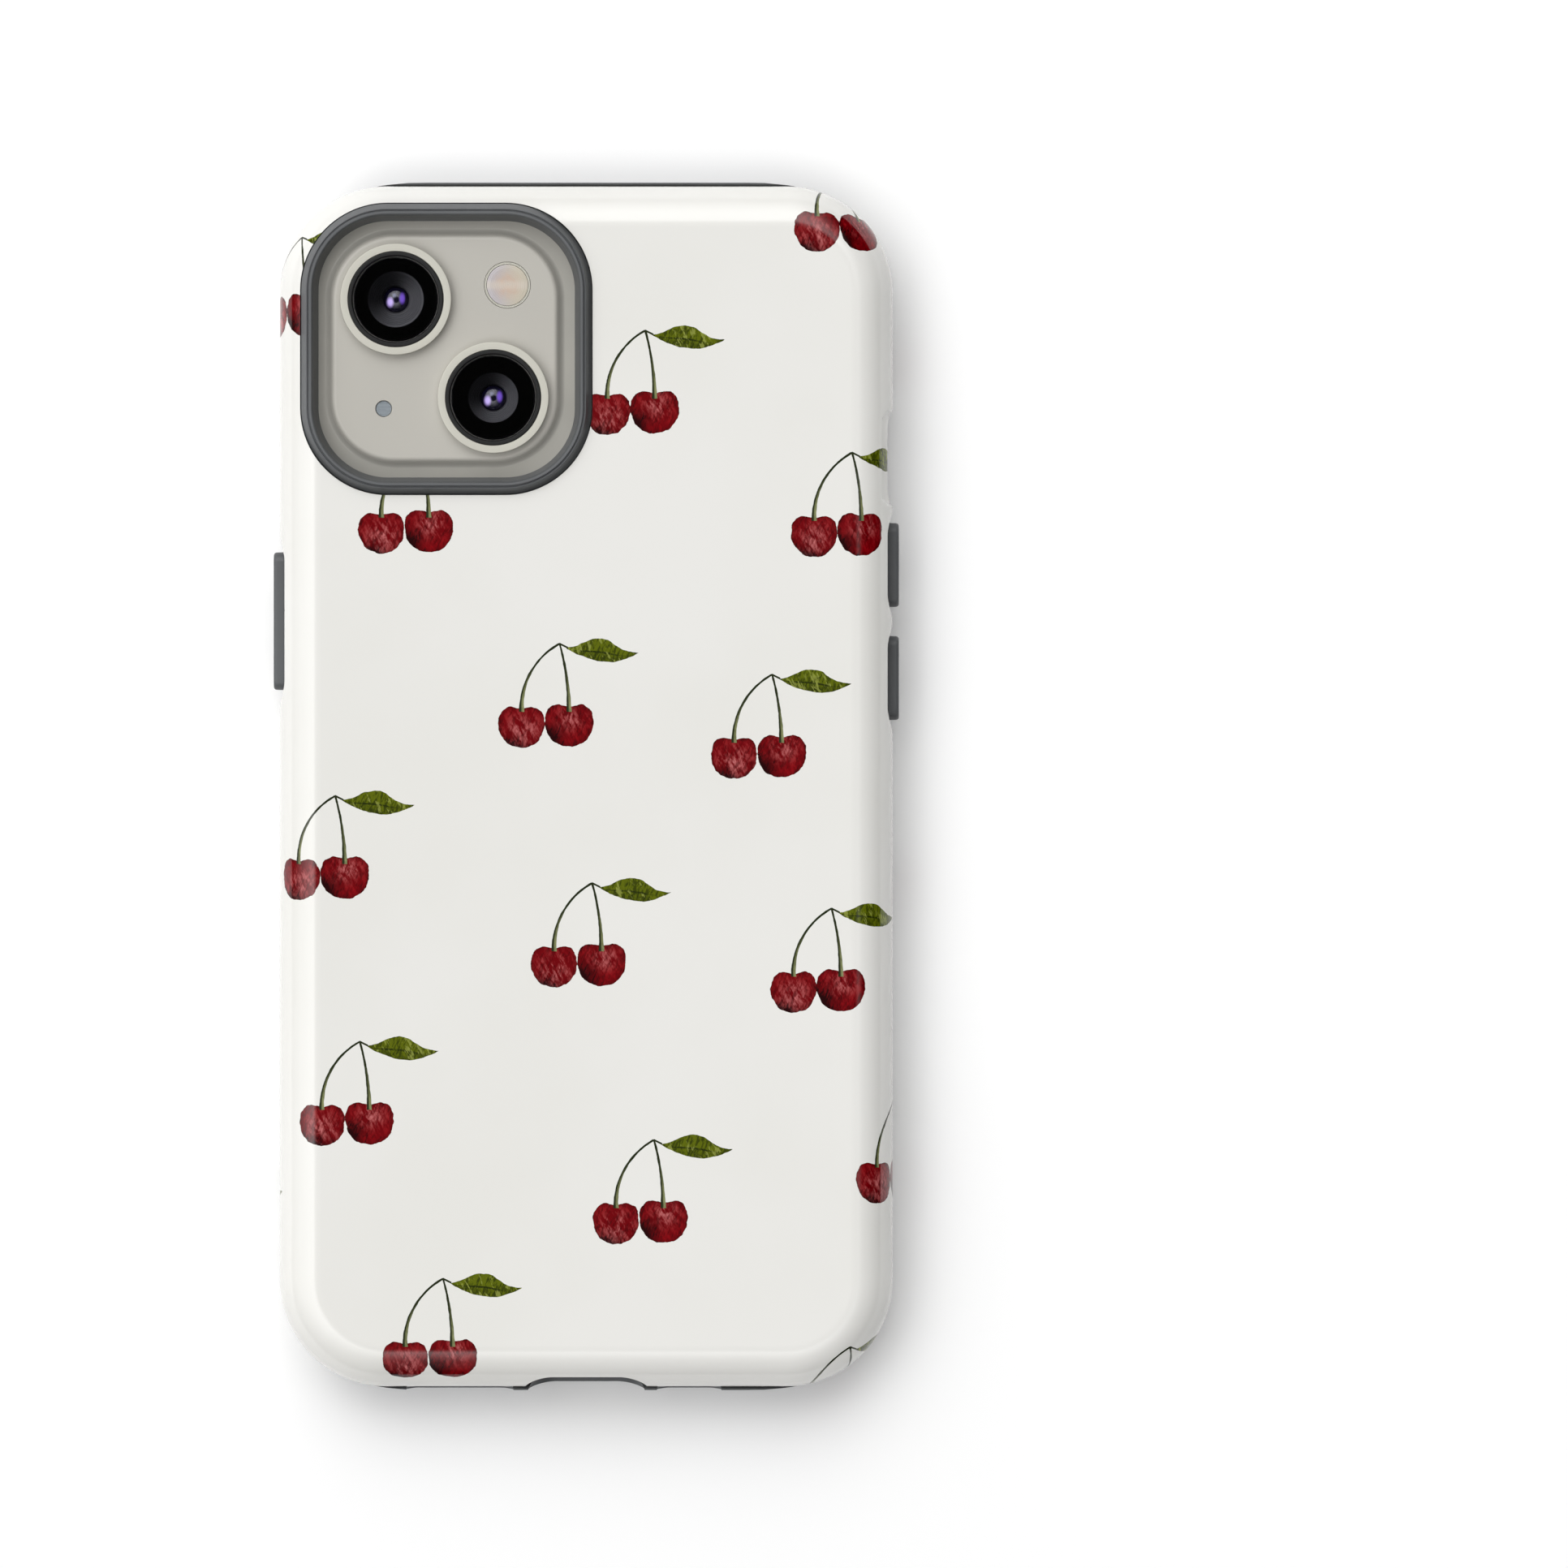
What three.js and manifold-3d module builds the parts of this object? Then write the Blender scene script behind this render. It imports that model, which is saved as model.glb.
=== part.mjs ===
// A smartphone in a two-layer protective case, lying on its screen side.
// Millimetres, +Z towards the back of the phone, +Y towards its top, +X towards the volume keys.
// The origin is under the middle of the case, on the plane that the front lip rests on.
import * as THREE from "three";
import { mergeVertices } from "three/addons/utils/BufferGeometryUtils.js";
import Module from "manifold-3d";

const wasm = await Module();
wasm.setup();

// ---- driving dimensions ----
const CORNER_STEPS = 7; // segments of each quarter-round corner
const SMALL_STEPS = 4; // the same on the keys and their recesses
const ROUND_STEPS = 32; // segments of a full circle

const phone = { hx: 35.75, hy: 73.35, r: 10.75, front: 2.4, back: 10.2 };
const midZ = (phone.front + phone.back) / 2; // the buttons and the socket sit at mid thickness
const glassThick = 0.8;
const seat = 0.1; // clearance between pieces that nest

const shell = { hx: 38.75, hy: 75.87, r: 13.5, back: 12.8, edgeRound: 5.4, frontEdge: 1.8 };
const shellInner = { hx: 36.95, hy: 74.55, r: 11.95, back: 11.4, edgeRound: 2.7 };
const linerBody = { hx: 36.85, hy: 74.45, r: 11.85, back: 11.4, edgeRound: 2.6 };
const linerEnd = { hx: 38.7, hy: 76.35, r: 13.5 }; // the rubber shows past the shell at both ends
const barrelMiddle = 6.4; // height of the widest line of the case
const barrelBow = 0.053; // how fast the side falls away towards the screen
const lipOpening = { hx: 34.9, hy: 72.5, r: 9.9 };

const camera = { x: -17.6, y: 55.2 };
const ringForm = { outer: 18.32, outerR: 10.9, innerTop: 17.0, innerFoot: 16.05, top: 14.1 };
const plateau = { x: -17.8, y: 55.3, half: 14.42, foot: 14.9, r: 7.9, top: 11.5 };
const lenses = {
  main: { x: -23.99, y: 61.46, cone: 3.55 },
  wide: { x: -11.69, y: 49.05, cone: 3.17 },
};
const lens = { ring: 7.01, trim: 6.0, glass: 5.38, ringTop: 12.85, trimTop: 12.95, gap: 0.05 };
const flash = { x: -9.92, y: 63.27, r: 2.89 };
const rearMic = { x: -25.52, y: 47.67, r: 1.04 };

const keyTravel = 0.3;
const keys = {
  power: { side: -1, y: 20.9, pad: 17.3, base: 19.2, scoop: 22.0 },
  volume_up: { side: 1, y: 28.0, pad: 10.8, base: 12.4, scoop: 14.3 },
  volume_down: { side: 1, y: 13.7, pad: 10.8, base: 12.4, scoop: 14.3 },
};
const key = { padWidth: 2.5, baseWidth: 4.3, scoopWidth: 7.1, padX: 39.53, baseX: 38.0, coverX: 36.3 };
const silent = { y: 41.4, pocket: 12.2, pocketWidth: 7.4, floor: 10.2, floorWidth: 5.4 };

// ---- materials ----
const finish = (color, roughness, metalness = 0) =>
  new THREE.MeshStandardMaterial({ color, roughness, metalness });
const white = finish(0xecece7, 0.12);
const rubber = finish(0x55585a, 0.55);
const pearlGlass = finish(0xbdbab2, 0.35);
const pearlMetal = finish(0xd2cfc4, 0.35, 0.6);
const blackMetal = finish(0x202020, 0.4, 0.5);
const blackGlass = finish(0x050505, 0.05);
const aluminium = finish(0xcfccc2, 0.4, 1);
const darkPlastic = finish(0x2a2b2d, 0.5);
const steel = finish(0xa8aaad, 0.35, 1);
const boardGreen = finish(0x1f4a38, 0.5);
const copper = finish(0xb87345, 0.4, 1);
const amber = finish(0xe6d3b8, 0.3);

// ---- solids ----
function solidOf(geometry) {
  const bare = new THREE.BufferGeometry().setAttribute(
    "position",
    (geometry.index ? geometry.toNonIndexed() : geometry).getAttribute("position"),
  );
  const merged = mergeVertices(bare, 1e-4);
  return new wasm.Manifold(
    new wasm.Mesh({
      numProp: 3,
      vertProperties: merged.attributes.position.array,
      triVerts: new Uint32Array(merged.index.array),
    }),
  );
}

function geometryOf(solid) {
  const mesh = solid.getMesh();
  return new THREE.BufferGeometry()
    .setAttribute("position", new THREE.BufferAttribute(mesh.vertProperties, 3))
    .setIndex(new THREE.BufferAttribute(mesh.triVerts, 1));
}

const cut = (solid, ...tools) => tools.reduce((left, tool) => left.subtract(tool), solid);
const join = (first, ...others) => others.reduce((sum, other) => sum.add(other), first);

// The corner points of a rounded rectangle, anticlockwise.
function roundedOutline(hx, hy, r, steps = CORNER_STEPS) {
  const points = [];
  const corners = [[1, 1], [-1, 1], [-1, -1], [1, -1]];
  corners.forEach(([sx, sy], quarter) => {
    for (let i = 0; i <= steps; i++) {
      const angle = ((quarter + i / steps) * Math.PI) / 2;
      points.push([sx * (hx - r) + r * Math.cos(angle), sy * (hy - r) + r * Math.sin(angle)]);
    }
  });
  return points;
}

// A solid through rounded rectangles, from the lowest level up: levels of { at, hx, hy, r }.
function stack(levels, cx = 0, cy = 0, steps = CORNER_STEPS) {
  const rings = levels.map(({ at, hx, hy, r }) =>
    roundedOutline(hx, hy, r, steps).map(([x, y]) => [x + cx, y + cy, at]),
  );
  const count = rings[0].length;
  const triangles = [];
  rings.slice(1).forEach((upper, i) => {
    const lower = rings[i];
    for (let j = 0; j < count; j++) {
      const k = (j + 1) % count;
      triangles.push(lower[j], lower[k], upper[k], lower[j], upper[k], upper[j]);
    }
  });
  const first = levels[0].at;
  const last = levels[levels.length - 1].at;
  for (let j = 0; j < count; j++) {
    const k = (j + 1) % count;
    triangles.push([cx, cy, first], rings[0][k], rings[0][j]);
    triangles.push([cx, cy, last], rings[rings.length - 1][j], rings[rings.length - 1][k]);
  }
  const geometry = new THREE.BufferGeometry();
  geometry.setAttribute("position", new THREE.Float32BufferAttribute(triangles.flat(), 3));
  return solidOf(geometry);
}

const slab = ({ hx, hy, r }, low, high, cx = 0, cy = 0, steps = CORNER_STEPS) =>
  stack([{ at: low, hx, hy, r }, { at: high, hx, hy, r }], cx, cy, steps);

const box = (x0, x1, y0, y1, z0, z1) =>
  solidOf(
    new THREE.BoxGeometry(x1 - x0, y1 - y0, z1 - z0).translate(
      (x0 + x1) / 2,
      (y0 + y1) / 2,
      (z0 + z1) / 2,
    ),
  );

// A turned solid from a closed profile of [radius, height], standing on Z.
function turned(profile, steps = ROUND_STEPS) {
  const points = profile.map(([r, z]) => new THREE.Vector2(r, z));
  return solidOf(new THREE.LatheGeometry(points, steps).rotateX(Math.PI / 2));
}

const disc = (r, z0, z1, steps = ROUND_STEPS) =>
  turned([[0, z0], [r, z0], [r, z1], [0, z1]], steps);

const washer = (inner, outer, z0, z1, steps = ROUND_STEPS) =>
  turned([[inner, z0], [outer, z0], [outer, z1], [inner, z1], [inner, z0]], steps);

// Sections given along X or Y instead of Z: { at, long, high } are half sizes along the wall and along Z.
function sideStack(side, y, levels) {
  const ordered = levels.map(({ at, long, high }) => ({
    at,
    hx: long,
    hy: high,
    r: Math.min(long, high) - 0.01,
  }));
  return stack(ordered, 0, 0, SMALL_STEPS).transform(rowsToColumns([
    [0, 0, side, 0],
    [side, 0, 0, y],
    [0, 1, 0, midZ],
  ]));
}

// A lean lifts the section by so much for every millimetre that it stands out.
function endStack(x, levels, lean = 0) {
  const ordered = levels.map(({ at, wide, high, r }) => ({ at, hx: wide, hy: high, r }));
  return stack(ordered, 0, 0, SMALL_STEPS).transform(rowsToColumns([
    [1, 0, 0, x],
    [0, 0, -1, 0],
    [0, 1, lean, midZ - lean * levels[0].at],
  ]));
}

// manifold-3d wants a 4 by 4 matrix, column by column.
const rowsToColumns = (rows) =>
  [0, 1, 2, 3].flatMap((c) => [rows[0][c], rows[1][c], rows[2][c], c === 3 ? 1 : 0]);

// ---- the case's outer form ----
// How far the side lies inside the widest line, at a height above the screen side.
function roundInset(z, { back, edgeRound }) {
  const above = Math.max(0, z - (back - edgeRound));
  return edgeRound - Math.sqrt(Math.max(0, edgeRound ** 2 - above ** 2));
}

function sideInset(z, form) {
  return z < barrelMiddle ? barrelBow * (barrelMiddle - z) ** 2 : roundInset(z, form);
}

function barrel(form, heights) {
  return stack(
    heights.map((z) => {
      const inset = sideInset(z, form);
      return { at: z, hx: form.hx - inset, hy: form.hy - inset, r: form.r - inset };
    }),
  );
}

// Heights spaced evenly in angle round the back edge, so that the round stays smooth.
function backEdgeHeights({ back, edgeRound }, count) {
  const heights = [];
  for (let i = 0; i <= count; i++) {
    heights.push(back - edgeRound + edgeRound * Math.sin((i / count) * (Math.PI / 2)));
  }
  return heights;
}

function tray(form, low) {
  const round = backEdgeHeights(form, 4).map((z) => {
    const inset = roundInset(z, form);
    return { at: z, hx: form.hx - inset, hy: form.hy - inset, r: form.r - inset };
  });
  return stack([{ at: low, hx: form.hx, hy: form.hy, r: form.r }, ...round]);
}

// The shell's front edge stays low along the sides and climbs to mid thickness over both ends.
const climb = { from: 70.4, to: 76.0, rise: 5.6 };
function aboveEdge(lower) {
  const curve = [];
  const count = 10;
  for (let i = 0; i <= count; i++) {
    const angle = ((i / count) * Math.PI) / 2;
    const y = climb.from + (climb.to - climb.from) * Math.sin(angle);
    curve.push([y, shell.frontEdge - lower + climb.rise * (1 - Math.cos(angle))]);
  }
  const outline = new THREE.Shape();
  const top = 30;
  const far = 90;
  outline.moveTo(-far, top);
  outline.lineTo(-far, curve[count][1]);
  [...curve].reverse().forEach(([y, z]) => outline.lineTo(-y, z));
  curve.forEach(([y, z]) => outline.lineTo(y, z));
  outline.lineTo(far, curve[count][1]);
  outline.lineTo(far, top);
  const width = 100;
  const geometry = new THREE.ExtrudeGeometry(outline, { depth: width, bevelEnabled: false });
  // The outline's x becomes the row's Y, its y becomes Z, and the extrusion runs along X.
  geometry.rotateX(Math.PI / 2).rotateZ(Math.PI / 2).translate(-width / 2, 0, 0);
  return solidOf(geometry);
}

// ---- openings shared by the shell and the rubber ----
const keyScoop = ({ side, y, scoop, base }) =>
  sideStack(side, y, [
    { at: 37.7, long: base / 2 + 0.2, high: key.baseWidth / 2 + 0.2 },
    { at: 38.0, long: base / 2 + 0.2, high: key.baseWidth / 2 + 0.2 },
    { at: shell.hx, long: scoop / 2, high: key.scoopWidth / 2 },
    { at: 39.2, long: scoop / 2 + 0.4, high: key.scoopWidth / 2 + 0.4 },
  ]);
const keySlot = ({ side, y, base }) =>
  sideStack(side, y, [
    { at: 35, long: base / 2 + 0.2, high: key.baseWidth / 2 + 0.2 },
    { at: 39, long: base / 2 + 0.2, high: key.baseWidth / 2 + 0.2 },
  ]);
const silentPocket = () => {
  const section = (at, long, high) => ({ at, hx: long / 2, hy: high / 2, r: 1.6 });
  return stack([
    section(35, silent.floor, silent.floorWidth),
    section(37.4, silent.floor, silent.floorWidth),
    section(37.9, silent.floor + 0.8, silent.pocketWidth - 0.7),
    section(39.2, silent.pocket, silent.pocketWidth + 0.5),
  ], 0, 0, SMALL_STEPS).transform(rowsToColumns([[0, 0, 1, 0], [1, 0, 0, silent.y], [0, 1, 0, midZ]]));
};
const portScoop = () =>
  endStack(0, [
    { at: 73.2, wide: 6.3, high: 3.2, r: 1.6 },
    { at: 73.9, wide: 6.3, high: 3.2, r: 1.6 },
    { at: 74.5, wide: 6.9, high: 4.2, r: 2.8 },
    { at: 76.6, wide: 8.0, high: 5.1, r: 3.6 },
  ], 0.22);
const soundSlot = ({ x, half }) =>
  endStack(x, [
    { at: 73.2, wide: half - 1.0, high: 1.3, r: 1.25 },
    { at: 75.2, wide: half - 0.9, high: 1.35, r: 1.25 },
    { at: 76.6, wide: half, high: 2.6, r: 1.3 },
  ]);
const speakerSlot = { x: -16.0, half: 6.5 };
const micSlot = { x: 13.0, half: 3.8 };
const soundSlots = [speakerSlot, micSlot];

const cameraHole = (half, r, low, high) =>
  slab({ hx: half, hy: half, r }, low, high, camera.x, camera.y);

// ---- case ----
function outerShell() {
  const edge = backEdgeHeights(shell, 7);
  const heights = [1.0, 1.8, 2.8, 4.2, 5.6, barrelMiddle, ...edge];
  const body = barrel(shell, heights);
  const covered = body.intersect(aboveEdge(0));
  return cut(
    covered,
    tray(shellInner, 0),
    cameraHole(ringForm.outer + 0.15, ringForm.outerR + 0.15, 9, 15),
    ...Object.values(keys).flatMap((k) => [keyScoop(k), keySlot(k)]),
    silentPocket(),
    portScoop(),
    ...soundSlots.map(soundSlot),
  );
}

function innerLiner() {
  const gap = 0.25;
  const endForm = { ...linerEnd, back: shell.back, edgeRound: shell.edgeRound };
  const lipRound = 0.6;
  const atLip = sideInset(0, endForm);
  const lipLevel = (z, extra) => ({
    at: z,
    hx: endForm.hx - atLip - extra,
    hy: endForm.hy - atLip - extra,
    r: endForm.r - atLip - extra,
  });
  const rim = stack([
    lipLevel(0, lipRound),
    lipLevel(lipRound * 0.35, 0.12),
    ...[0.6, 1.2, 2.0, 3.2, 4.6, barrelMiddle, 7.4, 8.4].map((z) => {
      const inset = sideInset(z, endForm);
      return { at: z, hx: endForm.hx - inset, hy: endForm.hy - inset, r: endForm.r - inset };
    }),
  ]);
  const exposed = rim.subtract(aboveEdge(gap));
  const ring = stack(
    [
      { at: phone.back, half: ringForm.outer, r: ringForm.outerR },
      { at: 12.2, half: ringForm.outer, r: ringForm.outerR },
      { at: 13.9, half: 17.6, r: 10.2 },
      { at: ringForm.top, half: 17.3, r: 9.9 },
    ].map(({ at, half, r }) => ({ at, hx: half, hy: half, r })),
    camera.x,
    camera.y,
  );
  const ringHollow = stack(
    [
      { at: 9, half: ringForm.innerFoot, r: 8.6 },
      { at: phone.back, half: ringForm.innerFoot, r: 8.6 },
      { at: ringForm.top, half: ringForm.innerTop, r: 9.6 },
      { at: 15, half: ringForm.innerTop, r: 9.6 },
    ].map(({ at, half, r }) => ({ at, hx: half, hy: half, r })),
    camera.x,
    camera.y,
  );
  const cavity = slab(
    { hx: phone.hx + seat, hy: phone.hy + seat, r: phone.r + seat },
    phone.front,
    phone.back,
  );
  return cut(
    join(exposed, tray(linerBody, 0.8), ring),
    cavity,
    slab(lipOpening, -1, phone.front),
    ringHollow,
    ...Object.values(keys).map(keySlot),
    silentPocket(),
    portScoop(),
    ...soundSlots.map(soundSlot),
  );
}

const keyCover = ({ side, y, pad, base }) =>
  sideStack(side, y, [
    { at: key.coverX, long: base / 2, high: key.baseWidth / 2 },
    { at: key.baseX - 0.25, long: base / 2, high: key.baseWidth / 2 },
    { at: key.baseX, long: base / 2 - 0.3, high: key.baseWidth / 2 - 0.3 },
    { at: key.baseX + 0.02, long: pad / 2 + 0.1, high: key.padWidth / 2 + 0.1 },
    { at: key.padX - 0.3, long: pad / 2, high: key.padWidth / 2 },
    { at: key.padX, long: pad / 2 - 0.3, high: key.padWidth / 2 - 0.3 },
  ]);

// ---- phone body ----
const metalKey = { out: 36.2, stem: 33.75, slotGap: 0.15 };
const keySize = ({ pad }) => ({ long: pad / 2 - 0.6, high: 1.35 });
const frameWall = 2.2;
const plate = { front: 3.6, back: 4.2 };
const socket = { wide: 4.4, high: 1.5 };
const soundHoles = [
  ...[0, 1, 2, 3, 4, 5].map((i) => speakerSlot.x - 5 + 2 * i),
  ...[0, 1, 2].map((i) => micSlot.x - 2 + 2 * i),
];
const notch = { half: 12.5, low: 66.3, high: 71.2 };
const screwX = 9.2;

function metalKeySolid(k, grow = 0, inner = metalKey.stem, outer = metalKey.out) {
  const { long, high } = keySize(k);
  return sideStack(k.side, k.y, [
    { at: inner, long: long + grow, high: high + grow },
    { at: outer, long: long + grow, high: high + grow },
  ]);
}

const hole = (x, z, r, from, to, steps = 10) =>
  turned([[0, from], [r, from], [r, to], [0, to]], steps).transform(
    rowsToColumns([[1, 0, 0, x], [0, 0, -1, 0], [0, 1, 0, z]]),
  );

function phoneFrame() {
  const edge = 0.25;
  const band = stack([
    { at: phone.front + edge, hx: phone.hx - edge, hy: phone.hy - edge, r: phone.r - edge },
    { at: phone.front + 2 * edge, hx: phone.hx, hy: phone.hy, r: phone.r },
    { at: phone.back - 2 * edge, hx: phone.hx, hy: phone.hy, r: phone.r },
    { at: phone.back - edge, hx: phone.hx - edge, hy: phone.hy - edge, r: phone.r - edge },
  ]);
  const inside = (wall) => ({ hx: phone.hx - wall, hy: phone.hy - wall, r: phone.r - wall });
  return cut(
    band,
    slab(inside(0.7), 0, phone.front + glassThick),
    slab(inside(1.5), 0, plate.front),
    slab(inside(frameWall), plate.back, 20),
    slab(inside(0.7), phone.back - glassThick, 20),
    box(-notch.half - 1, notch.half + 1, notch.low, notch.high - 0.2, 0, 20),
    ...Object.values(keys).map((k) => metalKeySolid(k, metalKey.slotGap, 33, 37)),
    box(33, 37, silent.y - 3.2, silent.y + 3.2, midZ - 1.5, midZ + 1.5),
    endStack(0, [
      { at: 70, wide: socket.wide, high: socket.high, r: 1.45 },
      { at: 75, wide: socket.wide, high: socket.high, r: 1.45 },
    ]),
    ...soundHoles.map((x) => hole(x, midZ, 0.6, 70, 75)),
    ...[-screwX, screwX].map((x) => hole(x, midZ, 0.85, 70, 75, 14)),
  );
}

const glassForm = { hx: phone.hx - 0.8, hy: phone.hy - 0.8, r: phone.r - 0.8 };

function displayGlass() {
  const soften = 0.2;
  const sheet = stack([
    { at: phone.front, hx: glassForm.hx - soften, hy: glassForm.hy - soften, r: glassForm.r - soften },
    { at: phone.front + soften, ...glassForm },
    { at: phone.front + glassThick, ...glassForm },
  ]);
  const slot = slab({ hx: 5.5, hy: 0.35, r: 0.34 }, 0, 5, 0, 71.75, 4);
  return sheet.subtract(slot);
}

function displayPanel() {
  const sheet = slab({ hx: 33.6, hy: 71.2, r: 8.6 }, phone.front + glassThick, plate.front - 0.05);
  return sheet.subtract(box(-notch.half, notch.half, notch.low, 80, 0, 10));
}

function backGlass() {
  const soften = 0.2;
  const sheet = stack([
    { at: phone.back - glassThick, ...glassForm },
    { at: phone.back - soften, ...glassForm },
    { at: phone.back, hx: glassForm.hx - soften, hy: glassForm.hy - soften, r: glassForm.r - soften },
  ]);
  const raised = stack(
    [
      { at: phone.back - 0.4, half: plateau.foot, r: plateau.r + 0.5 },
      { at: plateau.top - 0.35, half: plateau.foot - 0.1, r: plateau.r + 0.4 },
      { at: plateau.top, half: plateau.half, r: plateau.r },
    ].map(({ at, half, r }) => ({ at, hx: half, hy: half, r })),
    plateau.x,
    plateau.y,
  );
  return cut(
    sheet.add(raised),
    ...Object.values(lenses).map(({ x, y }) => disc(5.3, 5, 20).translate(x, y, 0)),
    disc(flash.r + 0.05, 5, 20, 28).translate(flash.x, flash.y, 0),
    disc(rearMic.r, 5, 20, 20).translate(rearMic.x, rearMic.y, 0),
  );
}

function chargingPort() {
  return cut(
    box(-5.6, 5.6, -70.9, -60, 4.5, 8.1),
    endStack(0, [
      { at: 62, wide: 4.2, high: 1.3, r: 1.25 },
      { at: 75, wide: 4.2, high: 1.3, r: 1.25 },
    ]),
  );
}

// The funnel that a camera looks through, black inside, with its lens at the bottom.
const lensBarrel = (cone) =>
  turned([
    [1.65, 9.6],
    [5.15, 9.6],
    [5.15, 12.4],
    [cone, 12.4],
    [1.75, 11.4],
    [1.65, 11.2],
    [1.65, 9.6],
  ]);

const lensElement = () =>
  turned([
    [0, 10.0],
    [1.55, 10.0],
    [1.55, 10.7],
    [1.3, 10.95],
    [0.9, 11.12],
    [0.45, 11.2],
    [0, 11.22],
  ], 28);

// ---- assembly ----
const cased = new THREE.Group();

function addPart(group, name, solid, material) {
  const mesh = new THREE.Mesh(geometryOf(solid), material);
  mesh.name = name;
  group.add(mesh);
  return mesh;
}

const caseGroup = new THREE.Group();
addPart(caseGroup, "outer_shell", outerShell(), white);
addPart(caseGroup, "inner_liner", innerLiner(), rubber);
for (const [name, k] of Object.entries(keys)) {
  addPart(caseGroup, name + "_cover", keyCover(k), rubber);
}
cased.add(caseGroup);

const phoneGroup = new THREE.Group();
addPart(phoneGroup, "phone_frame", phoneFrame(), aluminium);
addPart(phoneGroup, "display_glass", displayGlass(), blackGlass);
addPart(phoneGroup, "display_panel", displayPanel(), blackGlass);
addPart(phoneGroup, "back_glass", backGlass(), pearlGlass);

for (const [name, k] of Object.entries(keys)) {
  addPart(phoneGroup, name + "_button", metalKeySolid(k), aluminium);
  const reach = metalKey.stem - keyTravel - 0.05; // the dome that a pressed key meets
  addPart(
    phoneGroup,
    name + "_contact",
    sideStack(k.side, k.y, [
      { at: reach - 1.1, long: 2.4, high: 1.3 },
      { at: reach - 0.4, long: 2.4, high: 1.3 },
      { at: reach, long: 1.2, high: 1.0 },
    ]),
    steel,
  );
}
const switchRest = midZ - 1.3;
addPart(
  phoneGroup,
  "silent_switch",
  box(33.8, 36.45, silent.y - 2.9, silent.y + 2.9, switchRest, switchRest + 1.3),
  aluminium,
);
addPart(phoneGroup, "silent_contact", box(31.9, 33.4, silent.y - 3, silent.y + 3, 4.6, 8.0), darkPlastic);

// Each rear camera is a group of its own, set down at its place on the back.
for (const [name, { x, y, cone }] of Object.entries(lenses)) {
  const unit = new THREE.Group();
  unit.position.set(x, y, 0);
  const ring = washer(lens.trim + lens.gap, lens.ring, plateau.top, lens.ringTop);
  addPart(unit, "lens_ring_" + name, ring, pearlMetal);
  const trim = washer(lens.glass + lens.gap, lens.trim, plateau.top, lens.trimTop);
  addPart(unit, "lens_trim_" + name, trim, blackMetal);
  addPart(unit, "lens_glass_" + name, disc(lens.glass, 12.5, 12.8), blackGlass);
  addPart(unit, "lens_barrel_" + name, lensBarrel(cone), darkPlastic);
  addPart(unit, "lens_element_" + name, lensElement(), blackGlass);
  addPart(unit, "camera_module_" + name, box(-5.2, 5.2, -5.2, 5.2, 4.5, 9.3), darkPlastic);
  phoneGroup.add(unit);
}

const flashGroup = new THREE.Group();
flashGroup.position.set(flash.x, flash.y, 0);
addPart(flashGroup, "flash_ring", washer(2.65, flash.r, 10.4, plateau.top + 0.06, 28), pearlMetal);
addPart(flashGroup, "flash_diffuser", disc(2.6, 10.4, plateau.top + 0.02, 28), amber);
addPart(flashGroup, "flash_board", disc(2.8, 9.3, 10.35, 28), darkPlastic);
phoneGroup.add(flashGroup);

const micGroup = new THREE.Group();
micGroup.position.set(rearMic.x, rearMic.y, 0);
addPart(micGroup, "rear_mic_mesh", disc(rearMic.r - 0.06, 10.6, 11.3, 20), steel);
phoneGroup.add(micGroup);

// Inside the phone, behind the back glass.
addPart(phoneGroup, "battery", slab({ hx: 19, hy: 40, r: 1.5 }, 4.3, 8.3, -12.5, -5, 3), darkPlastic);
addPart(phoneGroup, "logic_board", slab({ hx: 11, hy: 46, r: 1 }, 4.5, 5.3, 20.3, 17, 2), boardGreen);
addPart(phoneGroup, "board_shield", slab({ hx: 9.6, hy: 40, r: 1 }, 5.3, 7.6, 20.3, 17, 2), steel);
addPart(phoneGroup, "charging_coil", washer(19, 25.5, 8.5, 9.1, 36).translate(0, -8, 0), copper);
addPart(phoneGroup, "haptic_motor", slab({ hx: 11.5, hy: 5, r: 0.8 }, 4.4, 8.0, -19.5, -60.5, 2), steel);
addPart(phoneGroup, "loudspeaker", slab({ hx: 10, hy: 8.5, r: 1 }, 4.4, 8.6, 20, -56, 2), darkPlastic);
const earpiece = slab({ hx: 5.2, hy: 1.6, r: 0.5 }, 4.3, 6.8, 0, 68.9, 2);
addPart(phoneGroup, "earpiece_speaker", earpiece, darkPlastic);
addPart(phoneGroup, "front_camera", disc(1.75, 3.25, 6.0, 24).translate(-9, 68.6, 0), darkPlastic);
addPart(phoneGroup, "face_sensor", slab({ hx: 3.2, hy: 1.3, r: 0.4 }, 3.25, 5.2, 9, 68.6, 2), darkPlastic);
addPart(phoneGroup, "charging_port", chargingPort(), steel);
for (const [name, side] of [["left", -1], ["right", 1]]) {
  const screw = join(hole(0, 0, 0.75, 70.6, 73.1, 16), hole(0, 0, 0.45, 67.5, 70.7, 12));
  const mesh = addPart(phoneGroup, "port_screw_" + name, screw, steel);
  mesh.position.set(side * screwX, 0, midZ);
}
cased.add(phoneGroup);

export default cased;
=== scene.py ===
import math
import bpy
import bmesh
from mathutils import Matrix, Vector


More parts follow.
